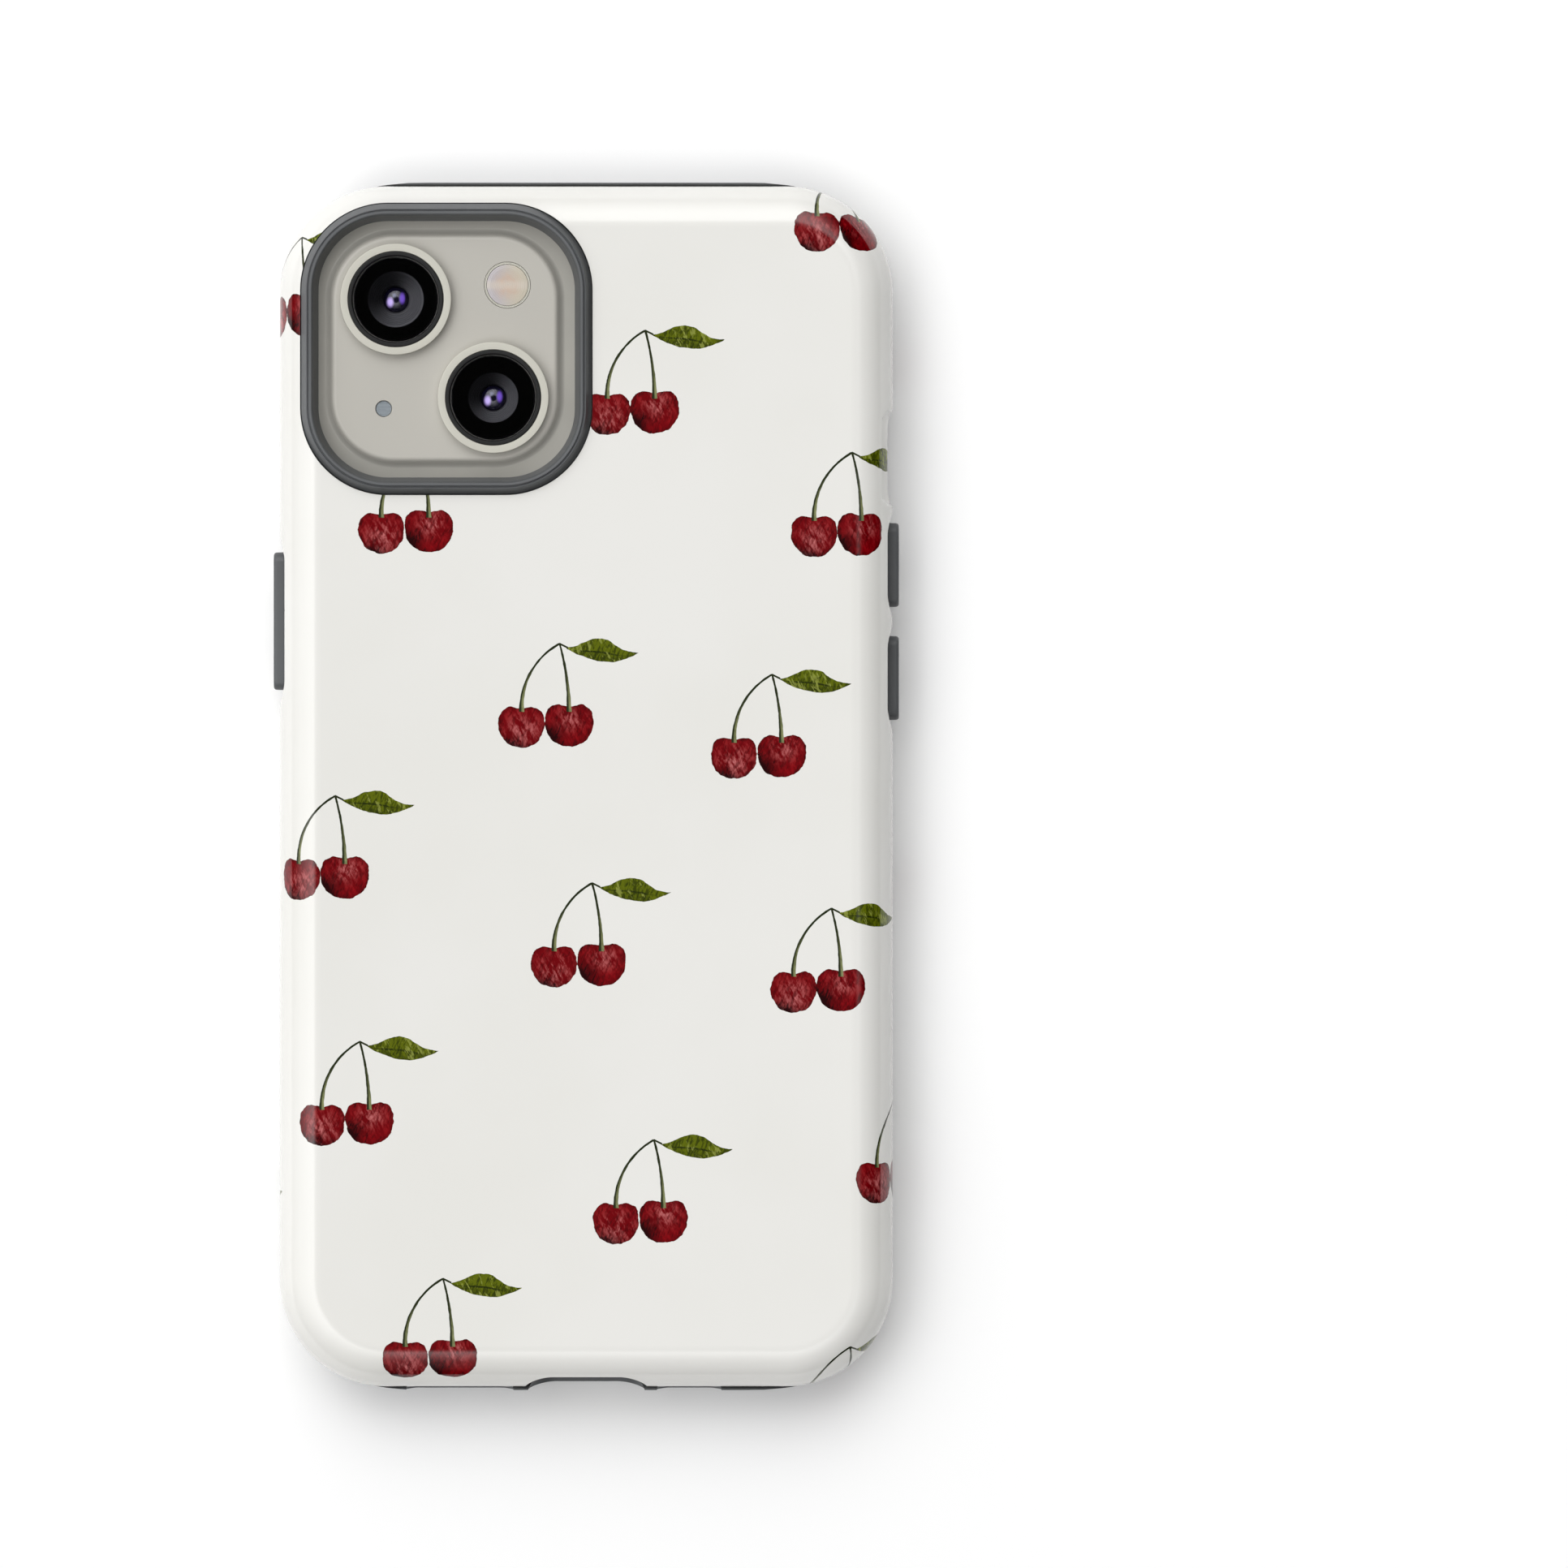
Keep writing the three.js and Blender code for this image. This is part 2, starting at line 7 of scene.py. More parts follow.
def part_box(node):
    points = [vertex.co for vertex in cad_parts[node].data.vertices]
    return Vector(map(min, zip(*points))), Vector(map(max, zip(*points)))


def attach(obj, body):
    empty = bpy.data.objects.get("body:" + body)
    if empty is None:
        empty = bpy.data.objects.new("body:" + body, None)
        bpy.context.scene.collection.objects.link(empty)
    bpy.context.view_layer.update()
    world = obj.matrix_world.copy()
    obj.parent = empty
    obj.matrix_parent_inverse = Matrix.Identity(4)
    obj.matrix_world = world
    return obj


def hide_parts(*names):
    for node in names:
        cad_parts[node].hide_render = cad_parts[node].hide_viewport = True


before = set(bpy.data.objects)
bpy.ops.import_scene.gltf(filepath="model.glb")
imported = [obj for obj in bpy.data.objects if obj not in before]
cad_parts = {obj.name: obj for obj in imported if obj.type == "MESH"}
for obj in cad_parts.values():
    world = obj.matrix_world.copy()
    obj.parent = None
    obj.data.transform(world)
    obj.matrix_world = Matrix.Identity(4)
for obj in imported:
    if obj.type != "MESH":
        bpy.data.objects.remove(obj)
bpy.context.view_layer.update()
mm = 0.001
homeBody = "phone_and_case"
print("frame loaded:", len(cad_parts), "nodes")


# reading the frame, in millimetres

def nodeBox(name):
    low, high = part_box(name)
    return [v / mm for v in low], [v / mm for v in high]


def middleOf(name):
    low, high = nodeBox(name)
    return [(a + b) / 2 for a, b in zip(low, high)]


def halfOf(name):
    low, high = nodeBox(name)
    return [(b - a) / 2 for a, b in zip(low, high)]


def radiusOf(name):
    return halfOf(name)[0]


shellLow, shellHigh = nodeBox("outer_shell")
linerHigh = nodeBox("inner_liner")[1]
glassLow, glassHigh = nodeBox("back_glass")
bandLow, bandHigh = nodeBox("phone_frame")
midHeight = (bandLow[2] + bandHigh[2]) / 2
phoneCorner = 9.95  # the corner radius of the phone's two glasses

shellForm = {
    "halfX": shellHigh[0],
    "halfY": shellHigh[1],
    "corner": 13.5,
    "back": shellHigh[2],
    "edgeRound": 5.4,
    "bowHeight": 6.4,
    "bow": 0.053,
    "frontEdge": shellLow[2],
    "climbFrom": 70.4,
    "climbReach": 5.6,
    "wall": 1.8,
    "innerBack": 11.4,
    "innerRound": 2.7,
}


# mesh helpers

def addObject(name, data):
    obj = bpy.data.objects.new(name, data)
    bpy.context.scene.collection.objects.link(obj)
    return obj


def meshObject(name, points, faces, uvs=None):
    data = bpy.data.meshes.new(name)
    data.from_pydata([(x * mm, y * mm, z * mm) for x, y, z in points], [], faces)
    if uvs:
        layer = data.uv_layers.new(name="printMap")
        for loop in data.loops:
            layer.data[loop.index].uv = uvs[loop.vertex_index]
    return addObject(name, data)


def outwards(obj):
    work = bmesh.new()
    work.from_mesh(obj.data)
    bmesh.ops.remove_doubles(work, verts=work.verts, dist=1e-7)
    bmesh.ops.recalc_face_normals(work, faces=work.faces)
    work.to_mesh(obj.data)
    work.free()
    return obj


def shift(obj, x, y, z=0.0):
    obj.data.transform(Matrix.Translation((x * mm, y * mm, z * mm)))
    return obj


def bake(obj):
    # turns the modified object into a plain mesh
    depsgraph = bpy.context.evaluated_depsgraph_get()
    made = bpy.data.meshes.new_from_object(obj.evaluated_get(depsgraph))
    obj.modifiers.clear()
    obj.data = made
    return obj


def combine(base, tools, operation):
    # one exact boolean after another, then the tools go
    for tool in tools:
        step = base.modifiers.new("cut", "BOOLEAN")
        step.operation = operation
        step.solver = "EXACT"
        step.object = tool
        bake(base)
        bpy.data.objects.remove(tool)
    return base


def smooth(obj, sharpAngle=32, weighted=True):
    # crisp at real edges, smooth elsewhere, with flats that stay flat
    obj.data.shade_smooth()
    obj.data.set_sharp_from_angle(angle=math.radians(sharpAngle))
    if weighted:
        step = obj.modifiers.new("evenNormals", "WEIGHTED_NORMAL")
        step.keep_sharp = True
        step.weight = 80
        bake(obj)
    return obj


def perimeter(halfX, halfY, corner, cornerSteps, sideMarks=(), endMarks=()):
    # anchors and outward normals round a rounded rectangle; a point is anchor + normal * (corner - inset)
    spots = []
    ax, ay = halfX - corner, halfY - corner
    right = sorted(m for m in sideMarks if abs(m) < ay - 0.2)
    top = sorted((m for m in endMarks if abs(m) < ax - 0.2), reverse=True)

    def quarter(cx, cy, start):
        for i in range(cornerSteps + 1):
            angle = start + i / cornerSteps * math.pi / 2
            spots.append((cx, cy, math.cos(angle), math.sin(angle)))

    spots.extend((ax, y, 1, 0) for y in right)
    quarter(ax, ay, 0)
    spots.extend((x, ay, 0, 1) for x in top)
    quarter(-ax, ay, math.pi / 2)
    spots.extend((-ax, y, -1, 0) for y in reversed(right))
    quarter(-ax, -ay, math.pi)
    spots.extend((x, -ay, 0, -1) for x in reversed(top))
    quarter(ax, -ay, 1.5 * math.pi)
    return spots


def skin(rows, count, closedRows=False):
    # quads between rows of equal length, each row a closed loop
    faces = []
    last = len(rows) if closedRows else len(rows) - 1
    for i in range(last):
        a, b = rows[i], rows[(i + 1) % len(rows)]
        for j in range(count):
            k = (j + 1) % count
            faces.append((a + j, a + k, b + k, b + j))
    return faces


def loft(name, spots, corner, levels, lift=None):
    # a closed solid from levels of (inset, z), lowest first
    points, rows = [], []
    for inset, z in levels:
        rows.append(len(points))
        for cx, cy, nx, ny in spots:
            reach = corner - inset
            points.append((cx + nx * reach, cy + ny * reach, z))
    count = len(spots)
    faces = skin(rows, count)
    faces.append(tuple(reversed(range(count))))
    faces.append(tuple(range(rows[-1], rows[-1] + count)))
    if lift:
        points = [lift(p) for p in points]
    return outwards(meshObject(name, points, faces))


def roundedBlock(name, centre, halfX, halfY, corner, levels, steps=14):
    # a rounded rectangle tower standing on Z: levels of (inset, z)
    spots = perimeter(halfX, halfY, corner, steps)
    return shift(loft(name, spots, corner, levels), *centre)


def sideBlock(name, side, y, halfLong, halfHigh, levels, corner=None, steps=12):
    # the same, but standing out of a long side: levels of (inset, x)
    corner = corner or min(halfLong, halfHigh) - 0.01
    spots = perimeter(halfLong, halfHigh, corner, steps)
    made = loft(name, spots, corner, levels)
    turn = Matrix(((0, 0, side, 0), (side, 0, 0, y * mm), (0, 1, 0, midHeight * mm), (0, 0, 0, 1)))
    made.data.transform(turn)
    return made


def endBlock(name, x, halfWide, halfHigh, corner, levels, steps=10):
    # the same, out of the bottom end: levels of (inset, reach towards -Y)
    spots = perimeter(halfWide, halfHigh, corner, steps)
    made = loft(name, spots, corner, levels)
    turn = Matrix(((1, 0, 0, x * mm), (0, 0, -1, 0), (0, 1, 0, midHeight * mm), (0, 0, 0, 1)))
    made.data.transform(turn)
    return made


def roundedProfile(corners, steps=5):
    # corners of (radius, height, fillet) become a closed line with its corners rounded
    line = []
    for i, (x, y, fillet) in enumerate(corners):
        here = Vector((x, y))
        before = Vector(corners[i - 1][:2]) - here
        after = Vector(corners[(i + 1) % len(corners)][:2]) - here
        if fillet <= 0:
            line.append((x, y))
            continue
        angle = before.angle(after)
        back = min(fillet / math.tan(angle / 2), before.length * 0.49, after.length * 0.49)
        first, last = here + before.normalized() * back, here + after.normalized() * back
        for j in range(steps + 1):
            t = j / steps
            spot = first * (1 - t) ** 2 + here * 2 * t * (1 - t) + last * t ** 2
            line.append((spot.x, spot.y))
    return line


def turned(name, centre, corners, around=96, steps=5):
    # a lathe piece on Z; a profile that touches the axis closes there
    line = roundedProfile(corners, steps)
    points, faces, rings = [], [], []
    for r, z in line:
        if r < 1e-6:
            rings.append((len(points), 1))
            points.append((centre[0], centre[1], z))
            continue
        rings.append((len(points), around))
        for j in range(around):
            angle = 2 * math.pi * j / around
            points.append((centre[0] + r * math.cos(angle), centre[1] + r * math.sin(angle), z))
    for i, (a, na) in enumerate(rings):
        b, nb = rings[(i + 1) % len(rings)]
        if na == 1 and nb == 1:
            continue
        for j in range(around):
            k = (j + 1) % around
            if na == 1:
                faces.append((a, b + k, b + j))
            elif nb == 1:
                faces.append((a + j, a + k, b))
            else:
                faces.append((a + j, a + k, b + k, b + j))
    return outwards(meshObject(name, points, faces))


def sweepRound(name, centre, half, corner, corners, cornerSteps=22, steps=4):
    # a closed profile of (inward offset, z) carried round a rounded square
    line = roundedProfile(corners, steps)
    spots = perimeter(half, half, corner, cornerSteps)
    points, rows = [], []
    for inset, z in line:
        rows.append(len(points))
        for cx, cy, nx, ny in spots:
            reach = corner - inset
            points.append((centre[0] + cx + nx * reach, centre[1] + cy + ny * reach, z))
    return outwards(meshObject(name, points, skin(rows, len(spots), True)))


def settle(piece, body, nodes, material):
    # the piece gets its finish and its place in the frame
    piece.data.materials.clear()
    piece.data.materials.append(material)
    for poly in piece.data.polygons:
        poly.material_index = 0
    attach(piece, body)
    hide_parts(*nodes)
    return piece


# shader helpers

def putNode(tree, kind, inputs=None, **settings):
    node = tree.nodes.new(kind)
    for key, value in settings.items():
        setattr(node, key, value)
    for key, value in (inputs or {}).items():
        if isinstance(value, bpy.types.NodeSocket):
            tree.links.new(value, node.inputs[key])
        else:
            node.inputs[key].default_value = value
    return node


def calc(tree, operation, *values, clamp=False):
    inputs = dict(enumerate(values))
    return putNode(tree, "ShaderNodeMath", inputs, operation=operation, use_clamp=clamp).outputs[0]


def plus(tree, first, second, clamp=False):
    return calc(tree, "ADD", first, second, clamp=clamp)


def minus(tree, first, second):
    return calc(tree, "SUBTRACT", first, second)


def times(tree, first, second, clamp=False):
    return calc(tree, "MULTIPLY", first, second, clamp=clamp)


def over(tree, first, second, clamp=False):
    return calc(tree, "DIVIDE", first, second, clamp=clamp)


def larger(tree, first, second):
    return calc(tree, "MAXIMUM", first, second)


def positive(tree, value):
    return calc(tree, "ABSOLUTE", value)


def lengthOf(tree, x, y):
    return calc(tree, "SQRT", plus(tree, times(tree, x, x), times(tree, y, y)))


def vectorCalc(tree, operation, *values, out=0):
    inputs = dict(enumerate(values))
    return putNode(tree, "ShaderNodeVectorMath", inputs, operation=operation).outputs[out]


def partsOf(tree, vector):
    return putNode(tree, "ShaderNodeSeparateXYZ", {0: vector}).outputs


def joined(tree, **parts):
    return putNode(tree, "ShaderNodeCombineXYZ", parts).outputs[0]


def flatFrom(tree, place, centre, scale=1.0):
    # the flat offset of a place from a centre in millimetres
    spot = vectorCalc(tree, "SUBTRACT", place, (centre[0] * mm, centre[1] * mm, 0))
    return vectorCalc(tree, "MULTIPLY", spot, (scale, scale, 0))


def farFrom(tree, vector):
    return vectorCalc(tree, "LENGTH", vector, out=1)


def between(tree, value, low, high, toLow=0.0, toHigh=1.0, kind="SMOOTHSTEP"):
    # a soft step from toLow to toHigh as value goes from low to high
    inputs = {0: value, 1: low, 2: high, 3: toLow, 4: toHigh}
    return putNode(tree, "ShaderNodeMapRange", inputs, interpolation_type=kind).outputs[0]


def mixColour(tree, factor, first, second):
    inputs = {"Factor": factor, 6: first, 7: second}
    return putNode(tree, "ShaderNodeMix", inputs, data_type="RGBA").outputs[2]


def addColours(tree, first, second):
    inputs = {"Factor": 1.0, 6: first, 7: second}
    return putNode(tree, "ShaderNodeMix", inputs, data_type="RGBA", blend_type="ADD").outputs[2]


def mixNumber(tree, factor, first, second):
    return putNode(tree, "ShaderNodeMix", {0: factor, 2: first, 3: second}).outputs[0]


def noise(tree, place, scale, detail=2.0, roughness=0.5, out=0):
    inputs = {"Vector": place, "Scale": scale, "Detail": detail, "Roughness": roughness}
    return putNode(tree, "ShaderNodeTexNoise", inputs).outputs[out]


def curveOf(tree, value, spots):
    # a curve through given spots, all between 0 and 1
    node = putNode(tree, "ShaderNodeFloatCurve", {"Value": value})
    line = node.mapping.curves[0]
    while len(line.points) < len(spots):
        line.points.new(0.5, 0.5)
    for point, (x, y) in zip(line.points, spots):
        point.location = (x, y)
    node.mapping.update()
    return node.outputs[0]


def newGroup(name, inputs, outputs):
    tree = bpy.data.node_groups.new(name, "ShaderNodeTree")
    for label, kind, value in inputs:
        socket = tree.interface.new_socket(label, in_out="INPUT", socket_type=kind)
        if value is not None:
            socket.default_value = value
    for label, kind in outputs:
        tree.interface.new_socket(label, in_out="OUTPUT", socket_type=kind)
    return tree, tree.nodes.new("NodeGroupInput").outputs, tree.nodes.new("NodeGroupOutput").inputs


def placeGroup(tree, group, **inputs):
    node = tree.nodes.new("ShaderNodeGroup")
    node.node_tree = group
    for key, value in inputs.items():
        if isinstance(value, bpy.types.NodeSocket):
            tree.links.new(value, node.inputs[key])
        else:
            node.inputs[key].default_value = value
    return node.outputs


def newMaterial(name, **values):
    material = bpy.data.materials.new(name)
    material.use_nodes = True
    tree = material.node_tree
    shader = tree.nodes["Principled BSDF"]
    for key, value in values.items():
        shader.inputs[key.replace("_", " ")].default_value = value
    place = tree.nodes.new("ShaderNodeTexCoord").outputs["Object"]
    return material, tree, shader, place


def addBump(tree, shader, height, strength, distance):
    inputs = {"Height": height, "Strength": strength, "Distance": distance}
    tree.links.new(putNode(tree, "ShaderNodeBump", inputs).outputs[0], shader.inputs["Normal"])


def srgb(red, green, blue):
    def straight(v):
        v /= 255
        return v / 12.92 if v <= 0.04045 else ((v + 0.055) / 1.055) ** 2.4
    return (straight(red), straight(green), straight(blue), 1.0)


# shared effects

def makeFineGrain():
    # moulded or blasted grain: a height, and a roughness that drifts a little
    number, vector = "NodeSocketFloat", "NodeSocketVector"
    tree, given, result = newGroup(
        "fineGrain",
        [("Place", vector, None), ("Grain", number, 4000.0), ("Base", number, 0.5), ("Drift", number, 0.06)],
        [("Height", number), ("Roughness", number), ("Tone", number)],
    )
    fine = noise(tree, given["Place"], given["Grain"], 2.0)
    broad = noise(tree, given["Place"], 90.0, 3.0)
    drift = times(tree, minus(tree, broad, 0.5), given["Drift"])
    tree.links.new(fine, result["Height"])
    tree.links.new(plus(tree, given["Base"], drift), result["Roughness"])
    tree.links.new(broad, result["Tone"])
    return tree


fineGrain = makeFineGrain()


# the printed sprig
# places are millimetres from the joint of the two stalks, y upwards

sprig = {
    "cherries": [
        {"centre": (-4.8, -10.45), "half": (2.88, 2.72), "glow": (0.05, -0.2), "glowSize": 0.38,
         "dark": (-0.35, -1.05)},
        {"centre": (1.2, -10.2), "half": (3.05, 2.8), "glow": (0.1, 0.3), "glowSize": 0.2,
         "dark": (-0.75, -0.5)},
    ],
    "rim": [(0, 0.64), (0.09, 0.72), (0.18, 0.85), (0.27, 0.885), (0.4, 0.835), (0.5, 0.8),
            (0.63, 0.785), (0.76, 0.79), (0.9, 0.795), (1, 0.785)],
    "rimScale": 1.25,
    "stalks": [
        {"centre": (4.4, -8.09), "radius": 9.21, "foot": -8.6, "side": 1.0},
        {"centre": (-31.4, -8.7), "radius": 32.58, "foot": -8.6, "side": -1.0},
    ],
    "stalkThin": 0.135,
    "stalkThick": 0.2,
    "leafStart": 0.9,
    "leafLength": 9.05,
    "leafDrop": 3.0,
    "leafSpan": 4.0,
    "leafTop": [(0, 0.625), (0.11, 0.665), (0.23, 0.785), (0.34, 0.88), (0.46, 0.908), (0.57, 0.865),
                (0.66, 0.735), (0.75, 0.605), (0.83, 0.52), (0.93, 0.475), (1, 0.465)],
    "leafFoot": [(0, 0.6), (0.11, 0.455), (0.23, 0.34), (0.34, 0.253), (0.46, 0.2), (0.59, 0.168),
                 (0.75, 0.22), (0.86, 0.308), (0.94, 0.38), (1, 0.458)],
    "leafEnds": 9.0,
    "edgeSoftness": 0.045,
}

ink = {
    "red": srgb(112, 0, 8),
    "brightRed": srgb(140, 5, 15),
    "maroon": srgb(36, 0, 2),
    "blush": srgb(196, 112, 112),
    "stalkDark": srgb(38, 44, 24),
    "stalkPale": srgb(138, 142, 98),
    "leaf": srgb(94, 104, 12),
    "leafDark": srgb(36, 44, 4),
    "leafPale": srgb(152, 160, 74),
}


def makeInkStreaks():
    # brush marks: long thin patches that run along one direction
    number, vector = "NodeSocketFloat", "NodeSocketVector"
    tree, given, result = newGroup(
        "inkStreaks",
        [("Place", vector, None), ("Turn", number, 0.0), ("Across", number, 2.4), ("Along", number, 0.7)],
        [("Streak", number)],
    )
    turn = joined(tree, Z=given["Turn"])
    size = joined(tree, X=given["Across"], Y=given["Along"], Z=1.0)
    rotate = putNode(tree, "ShaderNodeVectorRotate", {"Vector": given["Place"], "Rotation": turn},
                     rotation_type="EULER_XYZ")
    warp = vectorCalc(tree, "MULTIPLY", noise(tree, rotate.outputs[0], 0.5, 1.0, out=1), (0.8, 0.8, 0.8))
    place = vectorCalc(tree, "ADD", vectorCalc(tree, "MULTIPLY", rotate.outputs[0], size), warp)
    tree.links.new(noise(tree, place, 1.0, 3.0, 0.62), result["Streak"])
    return tree


def softMask(tree, distance):
    # 1 inside, 0 outside, with a printed edge between
    soft = sprig["edgeSoftness"]
    return between(tree, distance, soft / 2, -soft / 2, kind="LINEAR")


def paintCherry(tree, x, y, wobble, brush, brushFine, plan):
    cx, cy = plan["centre"]
    halfX, halfY = plan["half"]
    qx = over(tree, minus(tree, x, cx), halfX)
    qy = over(tree, minus(tree, y, cy), halfY)
    reach = lengthOf(tree, qx, qy)
    turn = over(tree, positive(tree, calc(tree, "ARCTAN2", qx, qy)), math.pi)
    rim = times(tree, curveOf(tree, turn, sprig["rim"]), sprig["rimScale"])
    share = over(tree, reach, rim)
    gap = plus(tree, times(tree, minus(tree, share, 1.0), halfX), wobble)
    mask = softMask(tree, gap)

    def blob(spot, size):
        dx = minus(tree, qx, spot[0])
        dy = minus(tree, qy, spot[1])
        far = plus(tree, times(tree, dx, dx), times(tree, dy, dy))
        return calc(tree, "EXPONENT", times(tree, far, -1 / size))

    colour = mixColour(tree, between(tree, brush, 0.35, 0.7), ink["red"], ink["brightRed"])
    shade = between(tree, share, 0.75, 1.08, 0.0, 0.6)
    shade = plus(tree, shade, times(tree, blob(plan["dark"], 0.3), 1.1))
    shade = plus(tree, shade, between(tree, brushFine, 0.52, 0.34, 0.0, 0.6))
    shade = times(tree, shade, 0.8, clamp=True)
    colour = mixColour(tree, shade, colour, ink["maroon"])
    glow = times(tree, blob(plan["glow"], plan["glowSize"]), between(tree, brush, 0.4, 0.64))
    glow = times(tree, glow, between(tree, brushFine, 0.38, 0.62, 0.25, 0.95), clamp=True)
    return mask, mixColour(tree, glow, colour, ink["blush"])


def paintStalk(tree, x, y, wobble, brush, plan):
    dx = minus(tree, x, plan["centre"][0])
    dy = minus(tree, y, plan["centre"][1])
    far = lengthOf(tree, dx, dy)
    side = times(tree, minus(tree, far, plan["radius"]), plan["side"])
    down = over(tree, times(tree, y, -1.0), 8.5, clamp=True)
    swell = times(tree, calc(tree, "POWER", down, 2.4), sprig["stalkThick"])
    width = plus(tree, swell, sprig["stalkThin"])
    gap = minus(tree, positive(tree, side), width)
    gap = plus(tree, gap, times(tree, wobble, 0.3))
    ends = larger(tree, minus(tree, y, 0.08), minus(tree, plan["foot"], y))
    ends = larger(tree, ends, minus(tree, times(tree, x, plan["side"]), 0.15))
    mask = softMask(tree, larger(tree, gap, ends))
    pale = times(tree, between(tree, down, 0.25, 0.95), between(tree, side, 0.12, -0.1))
    pale = times(tree, pale, between(tree, brush, 0.35, 0.6, 0.6, 1.0))
    return mask, mixColour(tree, pale, ink["stalkDark"], ink["stalkPale"])


def paintLeaf(tree, x, y, wobble, brush, brushFine):
    along = over(tree, minus(tree, x, sprig["leafStart"]), sprig["leafLength"])
    inside = plus(tree, along, 0.0, clamp=True)

    def edge(spots):
        height = times(tree, curveOf(tree, inside, spots), sprig["leafSpan"])
        return minus(tree, height, sprig["leafDrop"])

    top, foot = edge(sprig["leafTop"]), edge(sprig["leafFoot"])
    gap = larger(tree, minus(tree, y, top), minus(tree, foot, y))
    past = minus(tree, positive(tree, minus(tree, along, 0.5)), 0.5)
    ends = times(tree, past, sprig["leafEnds"])
    gap = plus(tree, larger(tree, gap, ends), times(tree, wobble, 0.6))
    mask = softMask(tree, gap)
    colour = mixColour(tree, between(tree, brushFine, 0.45, 0.6, 0.0, 0.75), ink["leaf"], ink["leafDark"])
    share = over(tree, minus(tree, y, foot), minus(tree, top, foot))
    low = times(tree, between(tree, share, 0.55, 0.05), between(tree, brush, 0.38, 0.56))
    low = larger(tree, low, between(tree, inside, 0.86, 0.98))
    colour = mixColour(tree, times(tree, low, 0.75), colour, ink["leafDark"])
    vein = positive(tree, minus(tree, share, 0.4))
    vein = times(tree, between(tree, vein, 0.07, 0.015), between(tree, inside, 0.93, 0.6))
    vein = times(tree, vein, between(tree, brush, 0.3, 0.5, 0.4, 1.0))
    colour = mixColour(tree, vein, colour, ink["leafDark"])
    light = between(tree, brush, 0.54, 0.64, 0.0, 0.65)
    return mask, mixColour(tree, light, colour, ink["leafPale"])


# where the sprigs lie on the shell, laid flat, in millimetres from the middle of its back
sprigPlaces = [
    (7.5, 57.5), (33.6, 42.1), (-3.3, 18), (23.5, 14.1), (-31.6, -1.2), (0.8, -12.2),
    (31, -15.4), (-28.5, -32.2), (8.6, -44.6), (-18, -62.1), (33.6, -71), (34, 80.6),
    (-36.6, 69.8), (-21, 42.5), (41.8, -39.5), (-53, 46.8), (-49, 23.4), (-55.8, -20.8),
    (-49.9, -50), (-52.8, -71), (50.5, 27), (51, -2), (50.8, -62), (51, 64),
]
sheetSpan = 200.0  # the printed sheet's UV map runs over this many millimetres


def nearestSprig(tree, sheet):
    # gives each point its place from the nearest sprig's joint
    best, bestFar = None, None
    for x, y in sprigPlaces:
        place = vectorCalc(tree, "SUBTRACT", sheet, (x, y, 0))
        far = vectorCalc(tree, "DISTANCE", place, (1.0, -5.5, 0), out=1)
        if best is None:
            best, bestFar = place, far
            continue
        nearer = calc(tree, "LESS_THAN", far, bestFar)
        best = putNode(tree, "ShaderNodeMix", {0: nearer, 4: best, 5: place}, data_type="VECTOR").outputs[1]
        bestFar = calc(tree, "MINIMUM", far, bestFar)
    return best


def makeCherrySprigs():
    number, vector, colour = "NodeSocketFloat", "NodeSocketVector", "NodeSocketColor"
    tree, given, result = newGroup(
        "cherrySprigs", [("Sheet", vector, None)], [("Colour", colour), ("Cover", number)])
    streaks = makeInkStreaks()
    x, y, _ = partsOf(tree, nearestSprig(tree, given["Sheet"]))
    wobble = times(tree, minus(tree, noise(tree, given["Sheet"], 0.95, 2.0), 0.5), 0.5)
    brush = placeGroup(tree, streaks, Place=given["Sheet"], Turn=-0.45, Across=1.9, Along=0.62)[0]
    brushFine = placeGroup(tree, streaks, Place=given["Sheet"], Turn=0.35, Across=3.8, Along=1.0)[0]
    layers = [paintLeaf(tree, x, y, wobble, brush, brushFine)]
    stem = positive(tree, plus(tree, y, times(tree, x, 0.5)))
    reach = larger(tree, minus(tree, x, 1.05), times(tree, x, -1.0))
    petiole = softMask(tree, larger(tree, minus(tree, stem, 0.13), reach))
    layers.append((petiole, mixColour(tree, 0.2, ink["stalkDark"], ink["leafDark"])))
    for plan in sprig["cherries"]:
        layers.append(paintCherry(tree, x, y, wobble, brush, brushFine, plan))
    for plan in sprig["stalks"]:
        layers.append(paintStalk(tree, x, y, wobble, brush, plan))
    paint, cover = None, None
    for mask, tint in layers:
        paint = tint if paint is None else mixColour(tree, mask, paint, tint)
        cover = mask if cover is None else larger(tree, cover, mask)
    tree.links.new(paint, result["Colour"])
    tree.links.new(cover, result["Cover"])
    return tree


# materials

